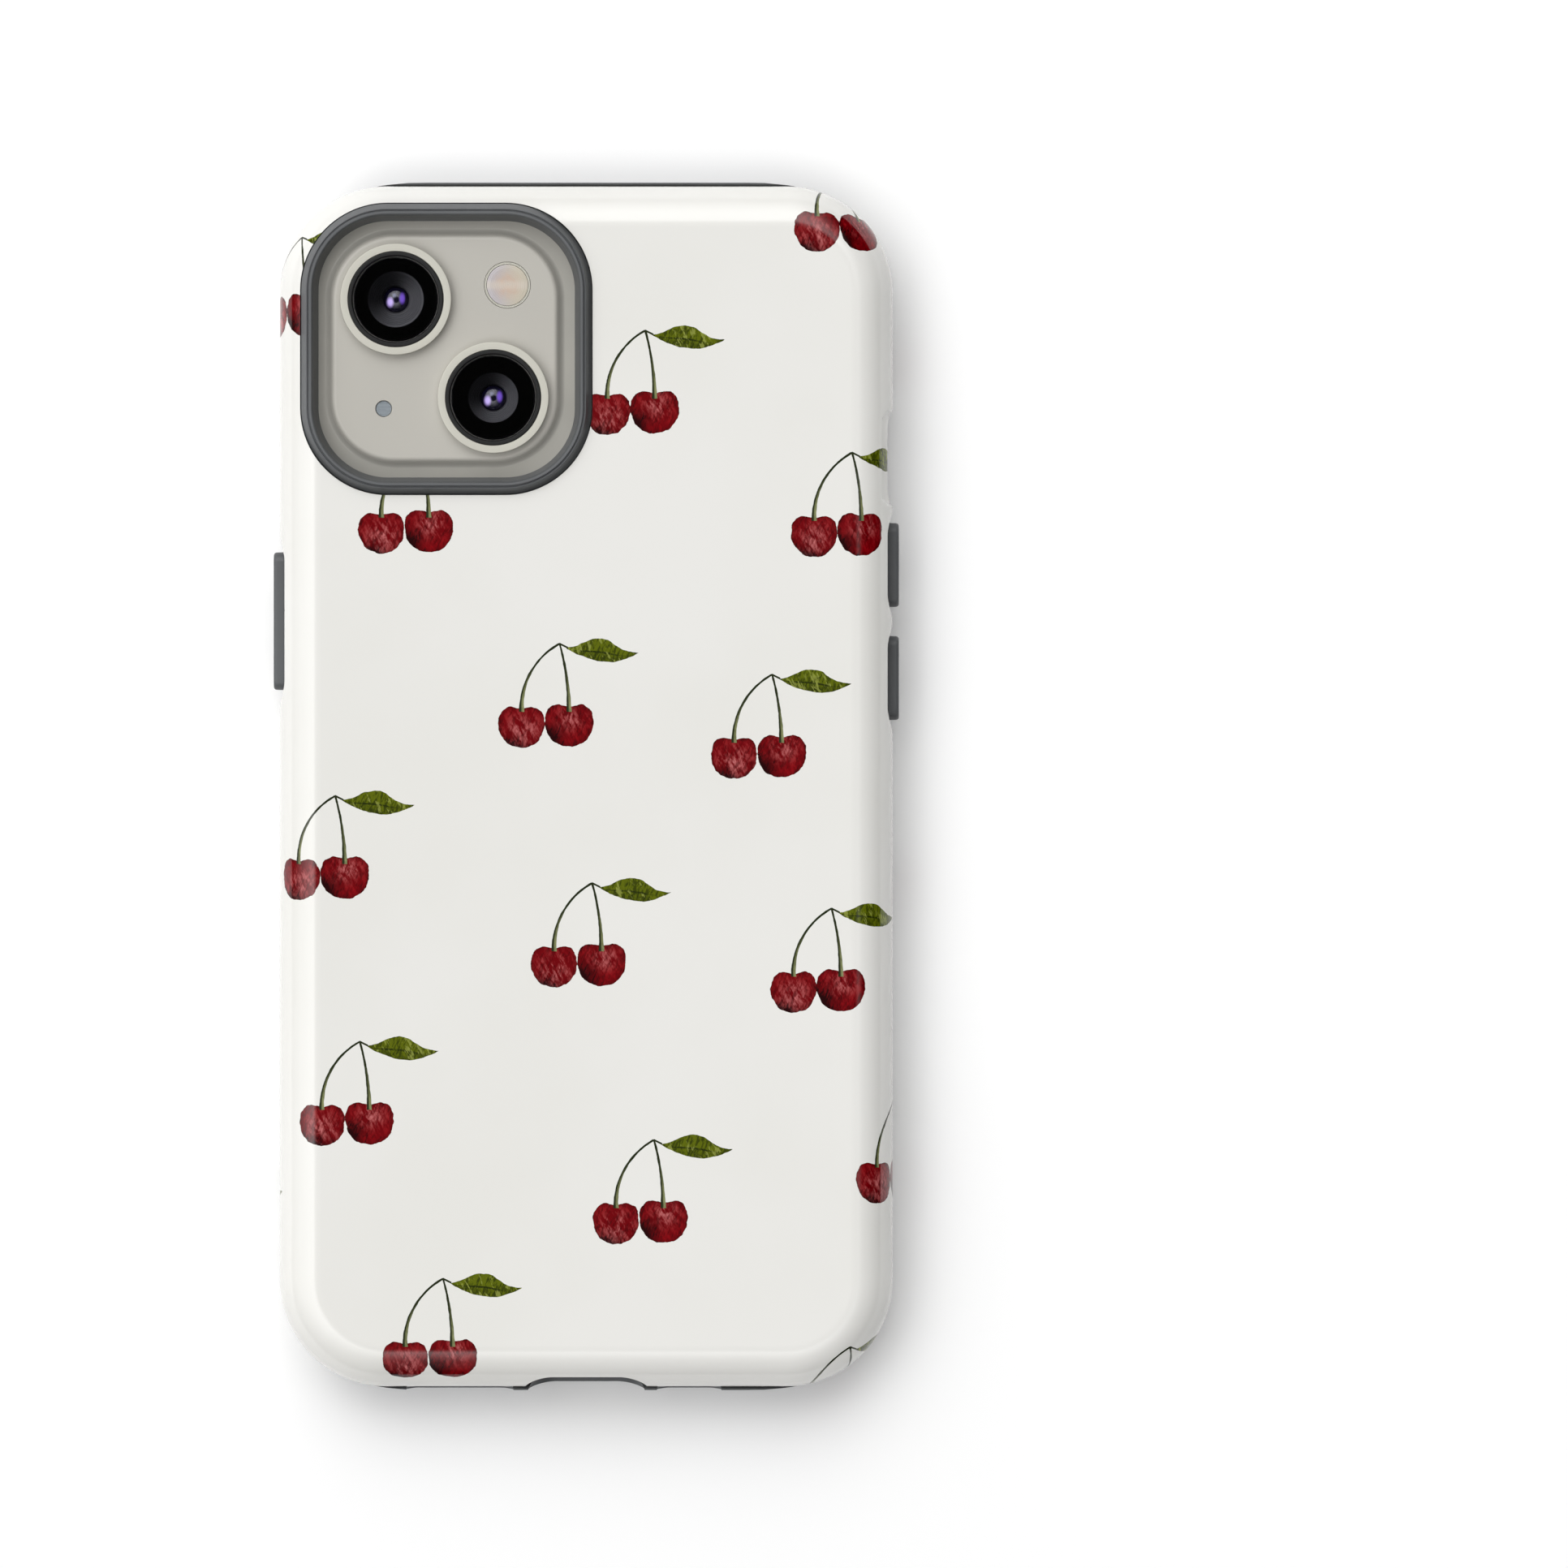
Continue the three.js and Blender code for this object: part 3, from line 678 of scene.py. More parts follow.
def makePrintedShell():
    look = {
        "white": srgb(234, 233, 228), "paleWhite": srgb(237, 236, 232), "printFoot": 2.95, "gloss": 0.06,
        "inkRoughness": 0.03,
    }
    material, tree, shader, place = newMaterial(
        "printedShell", Coat_Weight=0.25, Coat_Roughness=0.03, IOR=1.45)
    uv = putNode(tree, "ShaderNodeUVMap", None, uv_map="printMap").outputs[0]
    centred = vectorCalc(tree, "SUBTRACT", uv, (0.5, 0.5, 0.0))
    sheet = vectorCalc(tree, "MULTIPLY", centred, (sheetSpan, sheetSpan, 0.0))
    painted = placeGroup(tree, makeCherrySprigs(), Sheet=sheet)
    height = partsOf(tree, place)[2]
    foot, soft = look["printFoot"], 0.02
    inPrint = between(tree, height, (foot - soft) * mm, (foot + soft) * mm, kind="LINEAR")
    cover = times(tree, painted["Cover"], inPrint)
    drift = between(tree, noise(tree, place, 35.0, 3.0), 0.3, 0.7)
    base = mixColour(tree, drift, look["white"], look["paleWhite"])
    tree.links.new(mixColour(tree, cover, base, painted["Colour"]), shader.inputs["Base Color"])
    grain = placeGroup(tree, fineGrain, Place=place, Grain=260.0, Base=look["gloss"], Drift=0.03)
    rough = plus(tree, grain["Roughness"], times(tree, cover, look["inkRoughness"]))
    tree.links.new(rough, shader.inputs["Roughness"])
    addBump(tree, shader, plus(tree, grain["Height"], cover), 0.02, 0.00002)
    return material


def makeGrained(name, colour, second, grain, roughness, drift, bump, **values):
    # one moulded, blasted or coated finish
    material, tree, shader, place = newMaterial(name, **values)
    found = placeGroup(tree, fineGrain, Place=place, Grain=grain, Base=roughness, Drift=drift)
    tone = between(tree, found["Tone"], 0.3, 0.7)
    tree.links.new(mixColour(tree, tone, colour, second), shader.inputs["Base Color"])
    tree.links.new(found["Roughness"], shader.inputs["Roughness"])
    addBump(tree, shader, found["Height"], bump, 0.00002)
    return material


def makePearlGlass():
    # a polished sheet with a paler satin plateau on it; the sheet's darker colour is partly its own and
    # partly painted shade for the trench round the plateau
    look = {
        "sheet": srgb(166, 164, 157), "plateau": srgb(184, 181, 173), "fleck": srgb(187, 184, 176),
        "sheetRoughness": 0.14, "plateauRoughness": 0.42,
    }
    material, tree, shader, place = newMaterial("pearlGlass")
    found = placeGroup(tree, fineGrain, Place=place, Grain=2600.0, Base=look["plateauRoughness"], Drift=0.04)
    height = partsOf(tree, place)[2]
    raised = between(tree, height, (glassHigh[2] - 1.15) * mm, (glassHigh[2] - 0.3) * mm)
    tone = between(tree, found["Tone"], 0.3, 0.7, 0.0, 0.3)
    # partly painted shade: glass lower than the plateau takes the darker sheet colour
    colour = mixColour(tree, raised, look["sheet"], look["plateau"])
    tree.links.new(mixColour(tree, tone, colour, look["fleck"]), shader.inputs["Base Color"])
    rough = mixNumber(tree, raised, look["sheetRoughness"], found["Roughness"])
    tree.links.new(rough, shader.inputs["Roughness"])
    addBump(tree, shader, found["Height"], 0.03, 0.00002)
    return material


def makeCoverGlass():
    # a clear flat window: it mirrors by Fresnel and otherwise lets everything through
    material, tree, shader, place = newMaterial("coverGlass")
    tree.nodes.remove(shader)
    output = tree.nodes["Material Output"]
    clear = putNode(tree, "ShaderNodeBsdfTransparent", {"Color": (0.9, 0.9, 0.92, 1)})
    rough = between(tree, noise(tree, place, 400.0), 0.3, 0.7, 0.005, 0.015)
    gloss = putNode(tree, "ShaderNodeBsdfGlossy", {"Roughness": rough})
    share = putNode(tree, "ShaderNodeFresnel", {"IOR": 1.2})
    mix = putNode(tree, "ShaderNodeMixShader", {
        0: share.outputs[0], 1: clear.outputs[0], 2: gloss.outputs[0]})
    tree.links.new(mix.outputs[0], output.inputs["Surface"])
    return material


def makeLensWithPaintedGlints(centres):
    # dark coated lens with two painted violet glints and a painted grey reflection between them, glowing
    # through the emission colour
    look = {
        "deep": srgb(10, 8, 26), "haze": srgb(16, 12, 40),
        "paintedGlints": [
            {"place": (-0.72, -0.35), "wide": 0.6, "high": 0.85, "tone": srgb(206, 180, 255)},
            {"place": (0.78, 0.15), "wide": 0.5, "high": 0.95, "tone": srgb(128, 92, 214)},
            {"place": (-0.2, 0.5), "wide": 0.35, "high": 0.4, "tone": srgb(92, 96, 120)},
        ],
    }
    material, tree, shader, place = newMaterial(
        "lensWithPaintedGlints", Roughness=0.04, Coat_Weight=1.0, Coat_Roughness=0.02, Emission_Strength=1.0)
    light = None
    for centre in centres:
        spot = flatFrom(tree, place, centre, 1 / mm)
        own = (0, 0, 0, 1)
        for paintedGlint in look["paintedGlints"]:
            shifted = vectorCalc(tree, "SUBTRACT", spot, (*paintedGlint["place"], 0))
            sized = vectorCalc(tree, "MULTIPLY", shifted, (1 / paintedGlint["wide"], 1 / paintedGlint["high"], 0))
            own = mixColour(tree, between(tree, farFrom(tree, sized), 1.0, 0.25), own, paintedGlint["tone"])
        light = own if light is None else addColours(tree, light, own)
    haze = between(tree, noise(tree, place, 900.0), 0.3, 0.7)
    tree.links.new(mixColour(tree, haze, look["deep"], look["haze"]), shader.inputs["Base Color"])
    # painted reflections: the glints glow through the emission colour, not from any lamp
    tree.links.new(light, shader.inputs["Emission Color"])
    return material


def makeBarrelBlack(centres):
    # flat black land with a grey funnel in the middle whose colour carries painted light: paler on its far
    # side, where the light falls, with painted shade elsewhere
    look = {
        "land": srgb(1, 1, 1), "paintedShadow": srgb(26, 26, 27), "paintedSheen": srgb(92, 92, 93), "landHeight": 12.38,
        "sunTo": (0.77, -0.64, 0),
    }
    material, tree, shader, place = newMaterial("barrelBlack", Specular_IOR_Level=0.0)
    height = partsOf(tree, place)[2]
    funnel = between(tree, height, look["landHeight"] * mm, (look["landHeight"] - 0.08) * mm)
    found = placeGroup(tree, fineGrain, Place=place, Grain=3000.0, Base=0.42, Drift=0.05)
    paintedSheen = None
    # painted light: each funnel is paler on the side towards sunTo, where the light falls
    for centre in centres:
        flat = flatFrom(tree, place, centre)
        lit = vectorCalc(tree, "DOT_PRODUCT", vectorCalc(tree, "NORMALIZE", flat), look["sunTo"], out=1)
        near = between(tree, farFrom(tree, flat), 6 * mm, 5.5 * mm, kind="LINEAR")
        lit = times(tree, between(tree, lit, -0.9, 0.8), near)
        paintedSheen = lit if paintedSheen is None else larger(tree, paintedSheen, lit)
    grey = mixColour(tree, paintedSheen, look["paintedShadow"], look["paintedSheen"])
    tree.links.new(mixColour(tree, funnel, look["land"], grey), shader.inputs["Base Color"])
    tree.links.new(found["Roughness"], shader.inputs["Roughness"])
    tree.links.new(times(tree, funnel, 0.35), shader.inputs["Metallic"])
    addBump(tree, shader, found["Height"], 0.05, 0.00002)
    return material


def makeFlashCream(centre):
    # a warm diffuser: peach in the middle, cream to the right, cool to the left, with fine rings
    look = {
        "left": srgb(184, 178, 181), "right": srgb(196, 188, 171), "peach": srgb(200, 174, 155),
        "cream": srgb(208, 199, 187), "ringPitch": 24.0,
    }
    material, tree, shader, place = newMaterial(
        "flashCream", Roughness=0.35, Coat_Weight=0.2, Coat_Roughness=0.2)
    spot = flatFrom(tree, place, centre, 1 / mm)
    parts = partsOf(tree, spot)
    radius = farFrom(tree, spot)
    colour = mixColour(tree, between(tree, parts[0], -1.8, 1.6), look["left"], look["right"])
    peach = times(tree, between(tree, radius, 2.4, 0.6), noise(tree, spot, 1.3, 1.0))
    colour = mixColour(tree, times(tree, peach, 1.5, clamp=True), colour, look["peach"])
    band = positive(tree, parts[1])
    cream = times(tree, between(tree, band, 0.9, 0.1), 0.6)
    colour = mixColour(tree, cream, colour, look["cream"])
    tree.links.new(colour, shader.inputs["Base Color"])
    rings = calc(tree, "SINE", times(tree, radius, look["ringPitch"]))
    addBump(tree, shader, rings, 0.15, 0.00002)
    return material


def makeScreenBlack():
    # black glass: the lit area is a shade bluer than its border and the sensor notch
    look = {
        "halfX": 32.9, "halfY": 70.6, "corner": 9.0, "notchHalf": 12.0, "notchFoot": 66.6,
        "cameraRing": 1.5, "cameraPupil": 0.8, "border": srgb(4, 4, 4), "lit": srgb(13, 14, 17),
        "ring": srgb(34, 36, 44), "pupil": srgb(22, 24, 52),
    }
    material, tree, shader, place = newMaterial(
        "screenBlack", Roughness=0.03, Coat_Weight=1.0, Coat_Roughness=0.01)
    parts = partsOf(tree, place)
    qx = minus(tree, positive(tree, over(tree, parts[0], mm)), look["halfX"] - look["corner"])
    qy = minus(tree, positive(tree, over(tree, parts[1], mm)), look["halfY"] - look["corner"])
    qx = larger(tree, qx, 0.0)
    qy = larger(tree, qy, 0.0)
    far = lengthOf(tree, qx, qy)
    area = between(tree, far, look["corner"] + 0.05, look["corner"] - 0.05, kind="LINEAR")
    notch = look["notchHalf"]
    wide = between(tree, positive(tree, parts[0]), notch * mm, (notch + 0.1) * mm)
    low = between(tree, parts[1], look["notchFoot"] * mm, (look["notchFoot"] - 0.1) * mm)
    area = times(tree, area, larger(tree, wide, low))
    glass = mixColour(tree, area, look["border"], look["lit"])
    away = farFrom(tree, flatFrom(tree, place, middleOf("front_camera")))
    ring = positive(tree, minus(tree, away, look["cameraRing"] * mm))
    ring = between(tree, ring, 0.12 * mm, 0.06 * mm)
    glass = mixColour(tree, ring, glass, look["ring"])
    pupil = between(tree, away, look["cameraPupil"] * mm, (look["cameraPupil"] - 0.2) * mm)
    glass = mixColour(tree, pupil, glass, look["pupil"])
    tree.links.new(glass, shader.inputs["Base Color"])
    smear = noise(tree, place, 60.0, 4.0)
    tree.links.new(between(tree, smear, 0.3, 0.8, 0.02, 0.06), shader.inputs["Roughness"])
    return material


printedShell = makePrintedShell()
linerRubber = makeGrained(
    "linerRubber", srgb(88, 90, 92), srgb(94, 96, 98), 5000.0, 0.5, 0.08, 0.12, Specular_IOR_Level=0.45)
keyRubber = makeGrained(
    "keyRubber", srgb(80, 82, 84), srgb(86, 88, 90), 5000.0, 0.46, 0.08, 0.12, Specular_IOR_Level=0.45)
pearlGlass = makePearlGlass()
ringMetal = makeGrained(
    "ringMetal", srgb(196, 194, 183), srgb(199, 197, 186), 6000.0, 0.5, 0.05, 0.06, Metallic=0.2)
trimBlack = makeGrained(
    "trimBlack", srgb(22, 22, 22), srgb(25, 25, 25), 6000.0, 0.45, 0.05, 0.06, Specular_IOR_Level=0.3)
bandMetal = makeGrained(
    "bandMetal", srgb(208, 204, 194), srgb(211, 207, 198), 5200.0, 0.38, 0.06, 0.08, Metallic=0.95)
darkMould = makeGrained("darkMould", srgb(30, 30, 31), srgb(36, 36, 37), 3600.0, 0.55, 0.1, 0.1)
satinSteel = makeGrained(
    "satinSteel", srgb(168, 170, 172), srgb(178, 180, 182), 3000.0, 0.34, 0.1, 0.06, Metallic=1.0)
meshSteel = makeGrained(
    "meshSteel", srgb(150, 158, 164), srgb(156, 163, 168), 6000.0, 0.4, 0.08, 0.05, Metallic=0.4)
solderMask = makeGrained("solderMask", srgb(24, 82, 60), srgb(30, 92, 66), 1500.0, 0.4, 0.1, 0.08)
coilCopper = makeGrained(
    "coilCopper", srgb(196, 124, 80), srgb(206, 136, 92), 2500.0, 0.34, 0.08, 0.05, Metallic=1.0)
lensCentres = [middleOf("lens_ring_main")[:2], middleOf("lens_ring_wide")[:2]]
coverGlass = makeCoverGlass()
lensWithPaintedGlints = makeLensWithPaintedGlints(lensCentres)
barrelBlack = makeBarrelBlack(lensCentres)
flashCream = makeFlashCream(middleOf("flash_diffuser"))
screenBlack = makeScreenBlack()
print("materials made")


# the case's outer form

keyPlan = {
    "power": {"body": "power_key", "scoopGrow": 1.4},
    "volume_up": {"body": "volume_up_key", "scoopGrow": 0.95},
    "volume_down": {"body": "volume_down_key", "scoopGrow": 0.95},
}
for keyName, plan in keyPlan.items():
    plan["y"] = middleOf(keyName + "_cover")[1]
    plan["side"] = math.copysign(1, middleOf(keyName + "_cover")[0])
    plan["halfLong"] = halfOf(keyName + "_cover")[1]
    plan["halfHigh"] = halfOf(keyName + "_cover")[2]

scoopLook = {"depth": 0.74, "halfHigh": 3.75, "shoulder": 1.2, "slotGap": 0.16}
switchDish = {
    "depth": 0.4, "middle": 6.95, "halfLong": 6.1, "halfHigh": 4.1, "corner": 1.6, "shoulder": 0.5,
}
switchY = middleOf("silent_switch")[1]


def sideInset(z):
    form = shellForm
    if z < form["bowHeight"]:
        return form["bow"] * (form["bowHeight"] - z) ** 2
    above = max(0.0, z - (form["back"] - form["edgeRound"]))
    return form["edgeRound"] - math.sqrt(max(0.0, form["edgeRound"] ** 2 - above ** 2))


def frontEdgeAt(y, lower=0.0):
    # the shell's front edge climbs over both ends
    form = shellForm
    past = min(max((abs(y) - form["climbFrom"]) / form["climbReach"], 0.0), 0.999)
    return form["frontEdge"] - lower + form["climbReach"] * (1 - math.sqrt(1 - past * past))


def hollowDepth(away, up, halfLong, halfHigh, corner, shoulder, depth):
    along = max(0.0, abs(away) - (halfLong - corner))
    above = max(0.0, abs(up) - (halfHigh - corner))
    t = min(max((corner - math.hypot(along, above)) / shoulder, 0.0), 1.0)
    return depth * t * t * (3 - 2 * t)


def scoopDepth(side, y, z):
    # the soft hollows round the keys, and the dish round the silent switch
    deepest, look, dish = 0.0, scoopLook, switchDish
    for plan in keyPlan.values():
        if plan["side"] == side:
            half = plan["halfLong"] + plan["scoopGrow"]
            found = hollowDepth(
                y - plan["y"], z - midHeight, half, look["halfHigh"], look["halfHigh"],
                look["shoulder"], look["depth"])
            deepest = max(deepest, found)
    if side > 0:
        found = hollowDepth(
            y - switchY, z - dish["middle"], dish["halfLong"], dish["halfHigh"], dish["corner"],
            dish["shoulder"], dish["depth"])
        deepest = max(deepest, found)
    return deepest


def marks(low, high, step):
    count = max(1, round((high - low) / step))
    return [low + (high - low) * i / count for i in range(count + 1)]


def shellSkin():
    # the shell's closed wall before its openings are cut
    form = shellForm
    reach = form["halfY"] - form["corner"]
    # rows close together by the keys, closer still by the switch
    keysFoot, switchFoot, switchTop = 4, 34.4, 48.4
    sides = marks(-reach, keysFoot, 3.5) + marks(keysFoot, switchFoot, 0.4)
    sides += marks(switchFoot, switchTop, 0.2) + marks(switchTop, reach, 2.5)
    sides = sorted(set(sides))
    ends = marks(-form["halfX"] + form["corner"], form["halfX"] - form["corner"], 1.2)
    spots = perimeter(form["halfX"], form["halfY"], form["corner"], 30, sides, ends)
    corner, back, edge = form["corner"], form["back"], form["edgeRound"]
    roundSteps, wallSteps, lipSteps, innerSteps = 22, 18, 4, 6
    lip, chamfer = 0.22, 0.12
    plain = 15.0  # how far round the edge the unprinted inside lies on the sheet
    points, uvs, rows = [], [], []

    def addRow(where):
        rows.append(len(points))
        for spot in spots:
            cx, cy, nx, ny = spot
            inset, z, arc = where(spot)
            away = corner - inset
            points.append((cx + nx * away, cy + ny * away, z))
            flat = corner - edge + arc
            uvs.append((0.5 + (cx + nx * flat) / sheetSpan, 0.5 + (cy + ny * flat) / sheetSpan))

    def edgeHeight(spot):
        _, cy, _, ny = spot
        z = form["frontEdge"]
        for _ in range(8):
            z = frontEdgeAt(cy + ny * (corner - sideInset(z)))
        return z

    def hollow(spot, z):
        _, cy, nx, _ = spot
        return scoopDepth(nx, cy, z) if abs(nx) == 1 else 0.0

    # from the flat of the back round its edge and down the wall
    for i in range(roundSteps + 1):
        angle = i / roundSteps * math.pi / 2
        z = back - edge + edge * math.cos(angle)
        inset = edge - edge * math.sin(angle)
        addRow(lambda s, z=z, inset=inset, arc=edge * angle: (inset + hollow(s, z), z, arc))
    wallTop = back - edge
    for i in range(1, wallSteps + 1):
        t = i / wallSteps

        def wall(s, t=t):
            z = wallTop + (edgeHeight(s) + lip - wallTop) * t
            return sideInset(z) + hollow(s, z), z, edge * math.pi / 2 + wallTop - z
        addRow(wall)
    for i in range(1, lipSteps + 1):
        angle = i / lipSteps * math.pi / 2

        def rolled(s, angle=angle):
            z = edgeHeight(s)
            inset = sideInset(z + lip) + lip * (1 - math.cos(angle))
            return inset, z + lip * (1 - math.sin(angle)), edge * math.pi / 2 + wallTop - z
        addRow(rolled)
    inner = form["wall"]
    innerRound = form["innerRound"]
    innerTop = form["innerBack"] - innerRound
    addRow(lambda s: (inner - chamfer, edgeHeight(s), plain))
    addRow(lambda s: (inner, edgeHeight(s) + chamfer, plain))
    for i in range(innerSteps + 1):
        angle = i / innerSteps * math.pi / 2
        z = innerTop + innerRound * math.sin(angle)
        inset = inner + innerRound * (1 - math.cos(angle))
        addRow(lambda s, z=z, inset=inset: (inset, z, plain))
    count = len(spots)
    faces = skin(rows, count)
    faces.append(tuple(range(count)))
    faces.append(tuple(range(rows[-1], rows[-1] + count)))
    return outwards(meshObject("outer_shell_fine", points, faces, uvs))


def flare(low, high, width, steps=7):
    # levels of a quarter-round mouth that opens by width between two distances
    levels = []
    for i in range(steps + 1):
        angle = i / steps * math.pi / 2
        levels.append((-width * (1 - math.cos(angle)), low + (high - low) * math.sin(angle)))
    return levels


openings = {
    "inside": 34.0, "outside": 40.0,
    "key": {"floor": 37.8, "face": 38.25, "flare": 0.25},
    "switch": {"halfLong": 5.1, "halfHigh": 2.7, "corner": 1.5, "floor": 37.4, "face": 38.15, "flare": 0.25},
    "port": {"halfWide": 6.3, "halfHigh": 3.2, "lean": 0.22},
    "sound": [{"x": -16.0, "half": 6.5}, {"x": 13.0, "half": 3.8}],
    "soundHalfHigh": 1.65, "soundCorner": 1.5,
}


def keySlots(prefix):
    tools = []
    gap, mouth = scoopLook["slotGap"], openings["key"]
    for name, plan in keyPlan.items():
        levels = [(-gap, openings["inside"]), (-gap, mouth["floor"])]
        levels += [(inset - gap, x) for inset, x in flare(mouth["floor"], mouth["face"], mouth["flare"], 5)]
        levels.append((-gap - mouth["flare"], openings["outside"]))
        block = sideBlock(prefix + name, plan["side"], plan["y"], plan["halfLong"], plan["halfHigh"], levels)
        tools.append(block)
    return tools


def switchRecess(name):
    plan = openings["switch"]
    levels = [(0, openings["inside"]), (0, plan["floor"])]
    levels += flare(plan["floor"], plan["face"], plan["flare"])
    levels.append((-plan["flare"] - 0.1, openings["outside"]))
    return sideBlock(name, 1, switchY, plan["halfLong"], plan["halfHigh"], levels, plan["corner"])


def portRecess(name, narrower=0.0):
    # the mouth widens fast outside the phone's end, and stops short of the lip
    plan = openings["port"]
    start, steps = 73.0, 12
    # reach towards the bottom end, how much wider, how much higher, corner radius
    stations = [
        (start, 0, 0, 1.6), (73.85, 0, 0, 1.6), (74.1, 0.1, 0.3, 1.9), (74.35, 0.35, 0.75, 2.4),
        (74.6, 0.65, 1.05, 2.8), (75.2, 1.05, 1.4, 3.1), (76.0, 1.45, 1.75, 3.4), (77.2, 1.9, 2.1, 3.7),
    ]
    points, rows = [], []
    for reach, wider, higher, corner in stations:
        rows.append(len(points))
        halfWide = plan["halfWide"] + max(0.0, wider - narrower)
        halfHigh = plan["halfHigh"] + higher
        lifted = midHeight + plan["lean"] * (reach - start)
        for cx, cy, nx, ny in perimeter(halfWide, halfHigh, corner, steps):
            points.append((cx + nx * corner, -reach, lifted + cy + ny * corner))
    count = rows[1]
    faces = skin(rows, count)
    faces.append(tuple(range(count)))
    faces.append(tuple(range(rows[-1], rows[-1] + count)))
    return outwards(meshObject(name, points, faces))


def soundRecess(name, plan):
    levels = [(0.45, 73.0), (0.45, 75.0), (0.35, 75.3), (0.1, 75.6), (-0.25, 76.0), (-0.6, 76.9)]
    return endBlock(name, plan["x"], plan["half"], openings["soundHalfHigh"], openings["soundCorner"], levels)


def soundRecesses():
    return [soundRecess("soundTool" + str(i), plan) for i, plan in enumerate(openings["sound"])]


ringCentre = (-17.6, 55.2)
ringHalf = 18.32
ringCorner = 10.9


def cameraCutter(name, wider):
    # a tower through the back, wider than the camera surround's outline by so much
    levels = [(0, 9), (0, 15)]
    half, corner = ringHalf + wider, ringCorner + wider
    return roundedBlock(name, ringCentre, half, half, corner, levels, 24)


def makeShell():
    shell = shellSkin()
    tools = [*keySlots("slot_"), switchRecess("switchTool"), portRecess("portTool"), *soundRecesses()]
    tools.append(cameraCutter("cameraTool", 0.14))
    combine(shell, tools, "DIFFERENCE")
    smooth(shell, 34)
    return settle(shell, homeBody, ["outer_shell"], printedShell)


# the rubber liner

linerLook = {
    "halfX": linerHigh[0] + 1.2559,
    "halfY": linerHigh[1],
    "corner": 13.5,
    "bodyInset": 1.9,
    "bodyBack": 11.4,
    "bodyRound": 2.6,
    "edgeGap": 0.16,
    "lipHalfX": 34.9,
    "lipHalfY": 72.5,
    "lipCorner": 9.9,
    "endProud": 0.47,
    "fadeFrom": 21.5,
    "fadeReach": 6.5,
    "seat": 0.1,
    "seatCorner": 10.85,
    "portNarrower": 0.5,
}


def linerRim():
    # the part that shows: a rounded lip, a bead, and a groove under the shell's edge
    look = linerLook
    ends = marks(-25, 25, 2.5)
    spots = perimeter(look["halfX"], look["halfY"], look["corner"], 30, (), ends)
    bead = [(0.0, 0.62), (0.07, 0.28), (0.2, 0.1), (0.42, 0.0), (0.74, 0.0), (0.8, 0.05), (0.86, 0.1),
            (0.92, 0.1), (0.98, 0.05), (1.04, 0.0), (1.36, 0.0), (1.42, 0.06), (1.5, 0.14), (1.6, 0.15)]
    levels = [(sideInset(z) + extra, z) for z, extra in bead]
    for z in (1.75, 1.95, 2.3, 2.8, 3.4, 4.1, 4.8, 5.6, 6.4, 7.4, 8.4):
        levels.append((sideInset(z) + (0.15 if z < 1.8 else 0.0), z))

    def fade(spot):
        # the ends stand proud only between the corners
        x, y, z = spot
        t = min(max((abs(x) - look["fadeFrom"]) / look["fadeReach"], 0.0), 1.0)
        return x, y - math.copysign(look["endProud"] * t * t * (3 - 2 * t), y), z

    return loft("inner_liner_fine", spots, look["corner"], levels, fade)


def aboveEdgeTool():
    # everything above the line where the shell's front edge runs
    gap = linerLook["edgeGap"]
    line = [(y, frontEdgeAt(y, gap)) for y in marks(shellForm["climbFrom"] - 1, 76.6, 0.22)]
    line = [(-y, z) for y, z in reversed(line)] + line
    profile = [(-90.0, 30.0), (-90.0, line[0][1])] + line + [(90.0, line[-1][1]), (90.0, 30.0)]
    points = [(side * 60.0, y, z) for side in (-1, 1) for y, z in profile]
    count = len(profile)
    faces = [(j, (j + 1) % count, count + (j + 1) % count, count + j) for j in range(count)]
    faces += [tuple(range(count)), tuple(range(count, 2 * count))]
    return outwards(meshObject("aboveEdge", points, faces))


def linerTray():
    # the hidden body of the liner, between the phone and the shell
    look = linerLook
    inset, rounded, top = look["bodyInset"], look["bodyRound"], look["bodyBack"]
    levels = [(inset, 0.9), (inset, top - rounded)]
    for i in range(1, 9):
        angle = i / 8 * math.pi / 2
        levels.append((inset + rounded * (1 - math.cos(angle)), top - rounded + rounded * math.sin(angle)))
    spots = perimeter(shellForm["halfX"], shellForm["halfY"] + 0.48, look["corner"], 20)
    return loft("tray", spots, look["corner"], levels)


def cameraSurround():
    # outer slope, fine groove, ridge and the steep wall down to the phone's glass
    top = linerHigh[2]
    profile = [
        (0.0, 10.0, 0), (0.0, 12.2, 0.3), (0.66, top - 0.2, 0.12), (0.78, top - 0.14, 0.05),
        (0.84, top - 0.36, 0.04), (0.96, top - 0.36, 0.04), (1.02, top - 0.04, 0.05), (1.1, top, 0.05),
        (1.34, top, 0.14), (1.56, top - 0.45, 0.2), (2.17, 10.0, 0),
    ]
    return sweepRound("surround", ringCentre, ringHalf, ringCorner, profile)


